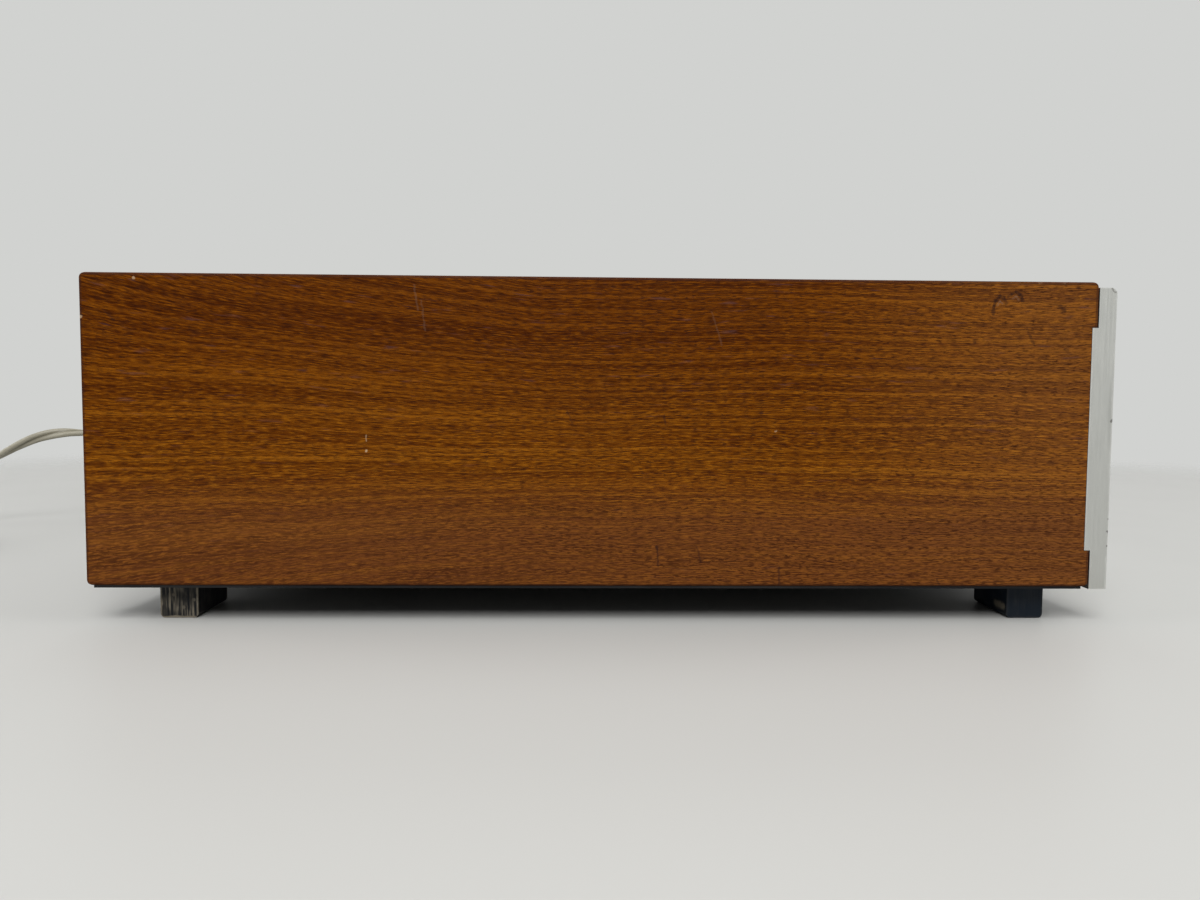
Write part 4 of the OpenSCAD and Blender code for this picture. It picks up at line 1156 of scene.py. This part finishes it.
@dataclass
class Print:
    """Flat print on a face across Y: bars, words and numbers in one mesh."""

    CAPITAL_SHARE: ClassVar[float] = 0.7
    facing: Facing
    face_y: float
    film: float = 0.04
    sunk: float = 0.02
    curve_steps: int = 3

    def __post_init__(self) -> None:
        """Starts an empty mesh."""
        self.mesh = bmesh.new()
        out = 1.0 if self.facing is Facing.REAR else -1.0
        self.middle = (self.face_y + out * (self.film - self.sunk) / 2) * MM

    def bar(self, x: float, z: float, angle: float, inner: float, outer: float,
            width: float) -> None:
        """Prints a straight bar that points away from a centre.

        Args:
            x: The centre's X in millimetres.
            z: The centre's Z in millimetres.
            angle: The bar's angle from the top, clockwise from the front, in degrees.
            inner: Where it starts, from the centre.
            outer: Where it ends.
            width: Its width.
        """
        turn = Matrix.Rotation(math.radians(angle), 4, "Y")
        thick = (self.film + self.sunk) * MM
        size = Matrix.Diagonal((width * MM, thick, (outer - inner) * MM, 1.0))
        place = Matrix.Translation((x * MM, self.middle, z * MM)) @ turn
        away = Matrix.Translation((0, 0, (inner + outer) / 2 * MM))
        bmesh.ops.create_cube(self.mesh, size=1.0, matrix=place @ away @ size)

    def words(self, text: str, x: float, z: float, height: float) -> None:
        """Prints a word or number centred on a point.

        Args:
            text: What it says.
            x: The middle's X in millimetres.
            z: The middle's Z in millimetres.
            height: The height of its capitals in millimetres.
        """
        curve = bpy.data.curves.new("lettering", "FONT")
        curve.body = text
        curve.size = height / self.CAPITAL_SHARE * MM
        curve.align_x = "CENTER"
        curve.align_y = "CENTER"
        curve.resolution_u = self.curve_steps
        curve.extrude = (self.film + self.sunk) / 2 * MM
        holder = bpy.data.objects.new("lettering", curve)
        shaped = bpy.data.meshes.new_from_object(holder)
        shaped.transform(Matrix.Translation((x * MM, self.middle, z * MM)) @ self.facing.value)
        self.mesh.from_mesh(shaped)
        bpy.data.objects.remove(holder)
        bpy.data.curves.remove(curve)
        bpy.data.meshes.remove(shaped)


@dataclass
class Studio:
    """Camera, floor, background and lamps."""

    LAMPS: ClassVar[tuple[tuple[str, Triple, float, float], ...]] = (
        ("key", (-1.35, 0.1, 1.3), 1.0, 28.0),
        ("above", (0.0, 0.0, 1.9), 2.0, 6.0),
        ("front", (-0.2, -1.6, 0.9), 1.2, 13.0),
        ("back", (-0.2, 1.6, 0.9), 1.2, 11.0),
        ("far", (1.5, 0.0, 1.0), 1.2, 6.0))
    place: Triple = (-518.0, 18.4, 77.2)
    yaw: float = -1.51
    pitch: float = 3.40
    roll: float = 0.39
    focal: float = 901.0
    image_width: float = 1200.0
    sensor: float = 36.0
    nearest: float = 0.01
    floor_radius: float = 1.2
    floor_sides: int = 96
    floor_drop: float = 0.0001
    lamp_aim: Triple = (0.0, 0.0, 0.05)
    ambient: float = 0.2
    daylight: Colour = (1.0, 0.995, 0.98, 1.0)
    wall: Colour = tone(209, 210, 208)

    def camera(self) -> None:
        """Sets the camera where the photograph was taken."""
        yaw, pitch, roll = (math.radians(value) for value in (self.yaw, self.pitch, self.roll))
        level = math.cos(pitch)
        ahead = Vector((math.cos(yaw) * level, math.sin(yaw) * level, -math.sin(pitch)))
        right = ahead.cross(Vector((0.0, 0.0, 1.0))).normalized()
        above = right.cross(ahead)
        across = right * math.cos(roll) + above * math.sin(roll)
        upward = above * math.cos(roll) - right * math.sin(roll)
        data = bpy.data.cameras.new("camera")
        data.sensor_width = self.sensor
        data.lens = self.focal / self.image_width * self.sensor
        data.clip_start = self.nearest
        turned = Matrix((across, upward, -ahead)).transposed().to_4x4()
        stand = Matrix.Translation(metres(self.place))
        bpy.context.scene.camera = placed("camera", data, stand @ turned)

    def floor(self) -> None:
        """Lays a round floor just below the feet."""
        mesh = bmesh.new()
        below = Matrix.Translation((0.0, 0.0, -self.floor_drop))
        bmesh.ops.create_circle(mesh, cap_ends=True, segments=self.floor_sides,
                                radius=self.floor_radius, matrix=below)
        made = named(mesh, "floor")
        made.data.materials.append(StudioFloor("floor").material())

    def background(self) -> None:
        """Gives an even pale world that metal and glass mirror too."""
        world = bpy.data.worlds.new("studio")
        world.use_nodes = True
        bpy.context.scene.world = world
        world.node_tree.nodes.clear()
        graph = Graph(world.node_tree)
        rays = graph.node("LightPath", {}).outputs
        camera, glossy, through = [Field(graph, rays[f"Is {kind} Ray"])
                                   for kind in ("Camera", "Glossy", "Transmission")]
        seen = graph.math("ADD", camera, glossy + through, clamp=True)
        light = graph.made("Background", {"Color": self.daylight, "Strength": self.ambient})
        wall = graph.made("Background", {"Color": self.wall})
        either = graph.made("MixShader", {0: seen, 1: light, 2: wall})
        graph.node("OutputWorld", {"Surface": either})

    def lamp(self, name: str, place: Triple, size: float, power: float) -> None:
        """Hangs a soft square lamp that looks at the object.

        Args:
            name: The lamp's name.
            place: Where it hangs, in metres.
            size: Its side, in metres.
            power: Its power in watts.
        """
        data = bpy.data.lights.new(name, "AREA")
        data.size = size
        data.energy = power
        aim = Vector(self.lamp_aim) - Vector(place)
        turned = aim.to_track_quat("-Z", "Y").to_matrix().to_4x4()
        placed(name, data, Matrix.Translation(place) @ turned)

    def build(self) -> None:
        """Sets up the whole studio."""
        bpy.context.scene.view_settings.view_transform = "Standard"
        self.camera()
        self.floor()
        self.background()
        for lamp in self.LAMPS:
            self.lamp(*lamp)
        LOG.info("studio ready")


@dataclass
class MainsLead(Assembly):
    """Flat twin flex from the rear of the cabinet to its coil and plug."""

    MAP: ClassVar[str] = "along_flex"
    ROUTE: ClassVar[tuple[Station, ...]] = (
        (51, 193, 48, 0), (51, 200, 48, 0), (50.5, 212, 48, 0), (49.5, 224, 48.2, 0),
        (48, 236, 48.6, -5), (46.5, 248, 49.2, -10), (44.5, 260, 49.9, -15),
        (42.5, 272, 50.7, -20), (40, 284, 51.5, -20), (37, 296, 52.2, -15), (34.5, 306, 52.8, -5),
        (32, 315, 53.2, 10), (30, 324, 53.4, 45), (27.5, 332.5, 52.3, 88), (25, 340.5, 49.8, 115),
        (22.5, 349, 45.4, 142), (20, 357.5, 40.1, 165), (16.5, 366, 34.6, 180),
        (11, 375, 28.6, 190), (3.5, 383, 22.4, 200),
        (-6, 390, 16.6, 215), (-18, 396, 11.6, 230), (-31, 399.8, 7.8, 245), (-44, 401.5, 5.4, 257),
        (-57, 402, 4.3, 266), (-66, 402, 4.1, 270), (-72, 402, 4.1, 270))
    TAIL: ClassVar[tuple[Station, ...]] = (
        (-84, 402, 11, 270), (-90, 402, 11, 270), (-100, 402, 10.4, 285), (-112, 402, 9.1, 305),
        (-124, 402, 7.8, 330), (-134, 402, 7, 355), (-140, 402, 7, 360))
    lobe: float = 1.5
    web: float = 1.95
    arc_points: int = 9
    span_steps: int = 5
    turns: int = 7
    turn_steps: int = 60
    coil_x: float = -78.0
    coil_y: float = 362.35
    coil_z: float = 4.1
    coil_least: float = 26.0
    coil_pitch: float = 3.9
    coil_layer: float = 6.9
    coil_roll: float = 270.0
    rise_turns: float = 0.5
    merge: float = 1e-6

    def coil(self) -> list[Station]:
        """Winds the coil inwards below and outwards above.

        Returns:
            The coil's points with their roll.
        """
        stations = []
        for step in range(self.turns * self.turn_steps + 1):
            turn = step / self.turn_steps
            from_middle = turn - self.turns / 2
            radius = self.coil_least + self.coil_pitch * abs(from_middle)
            angle = math.pi / 2 + 2 * math.pi * turn
            rise = min(max(from_middle / self.rise_turns + 0.5, 0.0), 1.0)
            stations.append((self.coil_x + radius * math.cos(angle),
                             self.coil_y + radius * math.sin(angle),
                             self.coil_z + self.coil_layer * rise, self.coil_roll))
        return stations

    def eased(self, stations: Sequence[Station]) -> list[Station]:
        """Runs a smooth curve through stations.

        Args:
            stations: Points with their roll.

        Returns:
            The stations with more between them.
        """
        held = [Vector(station) for station in stations]
        held = [held[0] * 2 - held[1], *held, held[-1] * 2 - held[-2]]
        laid = []
        for index in range(1, len(held) - 2):
            a, b, c, d = held[index - 1:index + 3]
            for step in range(self.span_steps):
                t = step / self.span_steps
                laid.append(tuple(0.5 * (2 * b + (c - a) * t + (2 * a - 5 * b + 4 * c - d) * t * t
                                         + (3 * b - a - 3 * c + d) * t ** 3)))
        return [*laid, tuple(stations[-1])]

    def stations(self) -> list[Station]:
        """Gives the whole lead as points with their roll, in millimetres and degrees."""
        return [*self.eased(self.ROUTE), *self.coil(), *self.eased(self.TAIL)]

    def outline(self) -> list[tuple[float, float]]:
        """Draws the twin section, from the groove round one core and then the other.

        Returns:
            The section's points, across and up, in millimetres.
        """
        waist = math.asin(self.web / 2 / self.lobe)
        half = []
        for index in range(self.arc_points):
            angle = (math.pi - waist) * (1 - 2 * index / (self.arc_points - 1))
            half.append((self.lobe + self.lobe * math.cos(angle), self.lobe * math.sin(angle)))
        return [*half, *[(-across, -high) for across, high in half]]

    def tube(self, stations: Sequence[Station]) -> Mesh:
        """Sweeps the section along the stations.

        Args:
            stations: Points with their roll.

        Returns:
            The closed tube, mapped along and round.
        """
        outline = self.outline()
        points = [Vector(station[:3]) for station in stations]
        frames = []
        for index, station in enumerate(stations):
            ahead, behind = points[min(index + 1, len(points) - 1)], points[max(index - 1, 0)]
            heading = (ahead - behind).normalized()
            side = heading.cross(Vector((0.0, 0.0, 1.0))).normalized()
            roll = math.radians(station[3])
            across = side * math.cos(roll) + side.cross(heading) * math.sin(roll)
            frames.append((across, across.cross(heading)))
        mesh = bmesh.new()
        mesh.loops.layers.uv.new(self.MAP)
        long, around = len(stations) - 1, len(outline)
        bmesh.ops.create_grid(mesh, x_segments=long, y_segments=around, size=0.5, calc_uvs=True)
        for corner in mesh.verts:
            at = round((corner.co.x + 0.5) * long)
            wide, high = outline[round((corner.co.y + 0.5) * around) % around]
            across, upward = frames[at]
            corner.co = (points[at] + across * wide + upward * high) * MM
        bmesh.ops.remove_doubles(mesh, verts=mesh.verts, dist=self.merge)
        ends = [edge for edge in mesh.edges if edge.is_boundary]
        bmesh.ops.holes_fill(mesh, edges=ends, sides=0)
        bmesh.ops.recalc_face_normals(mesh, faces=mesh.faces)
        for face in mesh.faces:
            face.smooth = True
        return mesh

    def build(self) -> None:
        """Lays the flex and dresses what is on it."""
        stations = self.stations()
        flex = self.add(self.tube(stations), "twin_flex", SLOT_FINISHES["flex_vinyl"], "cabinet",
                        "flex_vinyl")
        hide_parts("mains_lead", "lead_coil")
        on_it = ("strain_relief", "lead_tie", "mains_plug", "plug_pins")
        self.dress_by_slot(*on_it)
        self.dress(SLOT_FINISHES["black_plastic"], "mains_lead", "lead_coil")
        metres(self.ROUTE[0][:3])
        [metres(station[:3]) for station in stations]


@dataclass
class Cabinet(Assembly):
    """Veneered boards, feet and bottom plate."""

    LEFT_MARKS: ClassVar[tuple[Mark, ...]] = (
        *trails(
            (PALE, 0.5, 0.4, (88.7, 61.8), (88.7, 63.8)),
            (PALE, 0.8, 0.8, (88.8, 58.4), (88.8, 58.6)),
            (PALE, 0.8, 0.7, (164.4, 115.2), (164.1, 115.2)),
            (PALE, 0.7, 0.5, (-48.9, 65.8), (-49.1, 65.8)),
            (PALE, 1.0, 0.7, (181.6, 102.5), (182.0, 102.0)),
            (DUSTY, 0.8, 0.2, (72.5, 113.7), (71.2, 105.5)),
            (DUSTY, 0.7, 0.18, (70.2, 108.8), (68.9, 98.9)),
            (DUSTY, 0.7, 0.16, (-26.8, 105.7), (-30.3, 94.7)),
            (DARK, 0.8, 0.4, (174.7, 104.8), (170.9, 101.3)),
            (DARK, 1.4, 0.6, (-122.2, 106.0), (-122.3, 108.8), (-122.9, 110.4), (-124.3, 112.0)),
            (DARK, 1.2, 0.45, (-124.3, 112.0), (-125.7, 111.1), (-126.6, 109.5)),
            # Painted highlight inside the dent above.
            (DUSTY, 0.9, 0.35, (-123.6, 108.6), (-124.4, 110.3), (-125.2, 109.6)),
            (DARK, 1.2, 0.5, (-127.2, 111.9), (-128.2, 112.7), (-129.6, 113.3)),
            (DARK, 1.3, 0.55, (-129.6, 113.3), (-131.0, 112.7), (-131.9, 111.2), (-132.2, 110.2)),
            # Painted highlight inside the dent above.
            (DUSTY, 0.9, 0.3, (-128.6, 111.2), (-129.8, 111.8), (-130.7, 110.9)),
            (DARK, 0.9, 0.2, (-132.9, 110.2), (-137.0, 110.2), (-143.9, 109.3)),
            (DARK, 1.7, 0.55, (-145.0, 108.9), (-146.4, 107.6)),
            (DARK, 1.2, 0.4, (-146.6, 106.9), (-145.8, 106.5)),
            (DARK, 1.2, 0.35, (-133.9, 101.0), (-135.0, 98.6), (-136.5, 95.6)),
            (DARK, 1.6, 0.4, (-147.4, 94.2), (-148.1, 93.7)),
            (DARK, 1.4, 0.5, (-115.9, 97.0), (-116.1, 96.5)),
            (DARK, 1.2, 0.5, (-43.9, 72.0), (-44.2, 72.0)),
            (DARK, 0.8, 0.35, (21.6, 72.3), (19.6, 67.9)),
            (DARK, 0.8, 0.45, (-11.2, 71.1), (-11.4, 68.1)),
            (DARK, 1.4, 0.6, (-9.1, 26.3), (-9.2, 26.0)),
            (DARK, 0.9, 0.55, (-9.2, 26.0), (-9.6, 19.8)),
            (DARK, 0.9, 0.4, (-22.8, 26.3), (-24.1, 21.2)),
            (DARK, 0.9, 0.5, (-51.0, 19.3), (-51.1, 12.9)),
            (DARK, 0.9, 0.45, (-105.6, 15.4), (-106.4, 13.0))),
        Mark(PALE, 1.2, 0.5, (-214.4, -137.8, 116.4), (-214.4, -138.8, 116.4)),
        Mark(PALE, 1.2, 0.5, (-214.4, -145.6, 116.4), (-214.4, -146.4, 116.4)))
    CHIP: ClassVar[Mark] = Mark(BARE, 3.0, 0.8, (-204.5, -134.0, 3.5), (-198.5, -134.0, 3.5))
    # Each board's deep band takes painted shade, and its brown band a painted floor reflection and
    # coarser pores.
    BOARDS: ClassVar[dict[str, dict[str, object]]] = {
        "left_side_board": {"marks": LEFT_MARKS},
        "top_board": {"across": (1.0, 0.0, 0.0), "offset": 0.332, "heart": 0.31, "drift": 0.006,
                      "spread": 1.2, "deep": (0.1, 0.2), "brown": (-0.08, -0.16)},
        "right_side_board": {"across": (0.0, 0.0, -1.0), "offset": 0.664, "heart": 0.6,
                             "drift": 0.003, "spread": 1.3, "deep": (-0.045, -0.105),
                             "brown": (-0.055, -0.03)}}
    FEET: ClassVar[dict[str, dict[str, object]]] = {
        "front_left_foot": {"wear": 0.05, "marks": (CHIP,)},
        "front_right_foot": {"wear": 0.3},
        "rear_left_foot": {"coat": tone(20, 21, 24), "wear": 0.9},
        "rear_right_foot": {"wear": 0.45}}

    def build(self) -> None:
        """Dresses the cabinet."""
        for node, laid in self.BOARDS.items():
            self.dress_by_box(Veneer, "veneer_" + node, node, **laid)
        for node, paint in self.FEET.items():
            self.dress_by_box(WornPaint, "paint_" + node, node, **paint)
        self.dress_by_slot("side_cleats", "bottom_plate", "foot_screws")


class DialStyle(Enum):
    """How a dial is numbered."""

    LEVEL = ("0", "1", "2", "3", "4", "5", "6", "7", "8", "9", "10")
    TONE = ("-", "", "", "", "", "0", "", "", "", "", "+")
    SIDES = ("L", "", "", "", "", "0", "", "", "", "", "R")
    STEPS = ("1", "2", "3", "4", "5")


@dataclass(frozen=True)
class Dial:
    """One knob with its scale on the panel."""

    body: str
    word: str
    x: float
    style: DialStyle
    sweep: float = 150.0
    knob_d: float = 30.0
    knob_len: float = 14.5
    rest: float = 0.0


@dataclass
class FrontPanel(Assembly):
    """Front panel with its knobs, buttons, lamp, socket and print."""

    DIALS: ClassVar[tuple[Dial, ...]] = (
        Dial("bass", "BASS", -138.333, DialStyle.TONE),
        Dial("treble", "TREBLE", -86.667, DialStyle.TONE),
        Dial("balance", "BALANCE", -35.0, DialStyle.SIDES),
        Dial("selector", "INPUT", 112.333, DialStyle.STEPS, sweep=60.0),
        Dial("volume", "VOLUME", 172.0, DialStyle.LEVEL, knob_d=46.0, knob_len=16.7, rest=-150.0))
    BUTTONS: ClassVar[dict[str, tuple[str, float]]] = {
        "tape": ("TAPE", 8.667), "mono": ("MONO", 28.667), "loudness": ("LOUD", 48.667),
        "filter": ("FILTER", 68.667)}
    BUTTON_LINES: ClassVar[Triple] = (1100.0, 1100.0, 8.0)
    PANEL_MARKS: ClassVar[tuple[Mark, ...]] = trails(
        (DARK, 1.1, 0.6, (-164.5, 70.4), (-164.1, 69.8)),
        (DARK, 0.8, 0.6, (-164.5, 36.4), (-164.3, 36.4)),
        (DARK, 1.0, 0.7, (-164.5, 31.9), (-164.2, 32.1)),
        (DARK, 0.8, 0.6, (-164.5, 27.0), (-164.3, 27.0)),
        # Painted dark reflection along the panel's rounded top front corner.
        (DARK, 0.7, 0.45, (-162.7, 114.7), (-163.9, 113.4)))
    BEHIND: ClassVar[tuple[str, ...]] = (
        "pilot_lamp", "headphone_socket", "panel_pillars", "control_bracket", "control_nuts",
        "bass_control", "treble_control", "balance_control", "selector_switch", "volume_control",
        "switch_bank", "power_switch")
    row_z: float = 63.55
    face_y: float = -164.5
    knob_gap: float = 0.8
    dish: float = 0.7
    groove: float = 0.6
    groove_w: float = 1.2
    inlay_inner: float = 0.15
    inlay_outer: float = 1.5
    inlay_sunk: float = 0.08
    inlay_play: float = 0.1
    inlay_bevel: float = 0.12
    column_x: float = -185.0
    power_z: float = 71.55
    phones_z: float = 41.55
    tick_gap: float = 2.0
    tick_long: float = 2.6
    tick_short: float = 1.7
    tick_w: float = 0.45
    number_reach: float = 5.4
    number_h: float = 2.4
    name_drop: float = 10.5
    name_h: float = 2.6
    small_h: float = 2.1
    button_drop: float = 9.5
    power_drop: float = 10.0
    phones_drop: float = 12.0

    def print_marks(self) -> None:
        """Prints the scales, numbers and names on the panel."""
        ink = Print(Facing.FRONT, self.face_y)
        for dial in self.DIALS:
            edge = dial.knob_d / 2 + self.tick_gap
            last = len(dial.style.value) - 1
            for index, text in enumerate(dial.style.value):
                angle = dial.sweep * (2 * index / last - 1)
                long = self.tick_long if text else self.tick_short
                ink.bar(dial.x, self.row_z, angle, edge, edge + long, self.tick_w)
                if text:
                    turn = math.radians(angle)
                    reach = edge + self.number_reach
                    ink.words(text, dial.x + reach * math.sin(turn),
                              self.row_z + reach * math.cos(turn), self.number_h)
            below = self.row_z - dial.knob_d / 2 - self.name_drop
            ink.words(dial.word, dial.x, below, self.name_h)
        for word, x in self.BUTTONS.values():
            ink.words(word, x, self.row_z - self.button_drop, self.small_h)
        ink.words("ON", self.column_x, self.power_z - self.power_drop, self.small_h)
        ink.words("PHONES", self.column_x, self.phones_z - self.phones_drop, self.small_h)
        self.add(ink.mesh, "panel_print", BLACK_INK, "cabinet", "front_aluminium")

    def pointer(self, dial: Dial) -> None:
        """Fills a knob's pointer groove.

        Args:
            dial: The dial whose knob it is.
        """
        radius = dial.knob_d / 2
        front = self.face_y - self.knob_gap - dial.knob_len
        inner, outer = radius / 2 + self.inlay_inner, radius - self.inlay_outer
        floor, top = front + self.dish + self.groove, front + self.dish + self.inlay_sunk
        wide = self.groove_w - self.inlay_play
        size = Matrix.Diagonal((wide * MM, (floor - top) * MM, (outer - inner) * MM, 1.0))
        mesh = bmesh.new()
        bmesh.ops.create_cube(mesh, size=1.0, matrix=size)
        rim = [edge for edge in mesh.edges if all(corner.co.y < 0 for corner in edge.verts)]
        bmesh.ops.bevel(mesh, geom=rim, offset=self.inlay_bevel * MM, affect="EDGES", segments=2,
                        profile=0.5, material=-1)
        place = Matrix.Translation((dial.x * MM, (floor + top) / 2 * MM, self.row_z * MM))
        turn = Matrix.Rotation(math.radians(dial.rest), 4, "Y")
        mesh.transform(place @ turn @ Matrix.Translation((0, 0, (inner + outer) / 2 * MM)))
        self.add(mesh, dial.body + "_pointer", BLACK_INK, dial.body, "turned_aluminium")

    def build(self) -> None:
        """Dresses the front and prints its marks."""
        self.dress_by_box(BrushedAluminium, "front_aluminium", "front_panel",
                          marks=self.PANEL_MARKS)
        for dial in self.DIALS:
            self.dress(TurnedMetal("turned_" + dial.body, (dial.x, self.row_z)),
                       dial.body + "_knob")
            self.dress_by_slot(dial.body + "_shaft")
            self.pointer(dial)
        for name in (*self.BUTTONS, "power"):
            self.dress_by_box(BrushedAluminium, "button_" + name, name + "_button",
                              lines=self.BUTTON_LINES)
        ring = TurnedMetal("headphone_ring", (self.column_x, self.phones_z))
        self.dress(ring, "headphone_ring")
        self.dress_by_slot(*self.BEHIND)
        self.print_marks()


@dataclass
class RearPanel(Assembly):
    """Rear panel with its sockets, terminals and print."""

    sockets_x: tuple[float, ...] = (-174.0, -150.0, -126.0, -102.0)
    terminals_x: tuple[float, ...] = (-52.75, -30.25, -7.75, 14.75)
    rows: tuple[tuple[str, float], ...] = (("L", 68.9), ("R", 48.9))
    row_x: float = -186.0
    number_z: float = 78.4
    terminal_z: float = 55.6
    letter_h: float = 3.0
    sign_h: float = 3.4

    def build(self) -> None:
        """Dresses the rear and prints its marks."""
        self.dress_by_slot("rear_panel", "socket_plate", "phono_sockets", "speaker_terminals",
                           "chassis_screws")
        ink = Print(Facing.REAR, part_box("socket_plate")[1][1] / MM)
        for number, x in enumerate(reversed(self.sockets_x), start=1):
            ink.words(str(number), x, self.number_z, self.letter_h)
        for text, z in self.rows:
            ink.words(text, self.row_x, z, self.letter_h)
        self.add(ink.mesh, "socket_print", WHITE_INK, "cabinet", "socket_laminate")
        ink = Print(Facing.REAR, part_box("rear_panel")[1][1] / MM)
        for index, x in enumerate(reversed(self.terminals_x)):
            ink.words("+-"[index % 2], x, self.terminal_z, self.sign_h)
        for text, pair in (("L", self.terminals_x[2:]), ("R", self.terminals_x[:2])):
            ink.words(text, sum(pair) / 2, self.terminal_z, self.letter_h)
        self.add(ink.mesh, "terminal_print", WHITE_INK, "cabinet", "rear_steel")


@dataclass
class Chassis(Assembly):
    """What stands inside: power supply, heat sink and boards."""

    INSIDE: ClassVar[tuple[str, ...]] = (
        "chassis_tray", "transformer_core", "transformer_winding", "transformer_clamp",
        "reservoir_capacitors", "heat_sink", "output_transistors", "main_board", "tone_board",
        "board_standoffs")

    def build(self) -> None:
        """Dresses the inside."""
        self.dress_by_slot(*self.INSIDE)


def main() -> None:
    """Builds the scene."""
    logging.basicConfig(level=logging.INFO, format="%(message)s")
    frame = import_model()
    Studio().build()
    for assembly in (MainsLead, Cabinet, FrontPanel, RearPanel, Chassis):
        assembly(frame).build()
        LOG.info("%s ready", assembly.__name__)


if __name__ == "__main__":
    main()
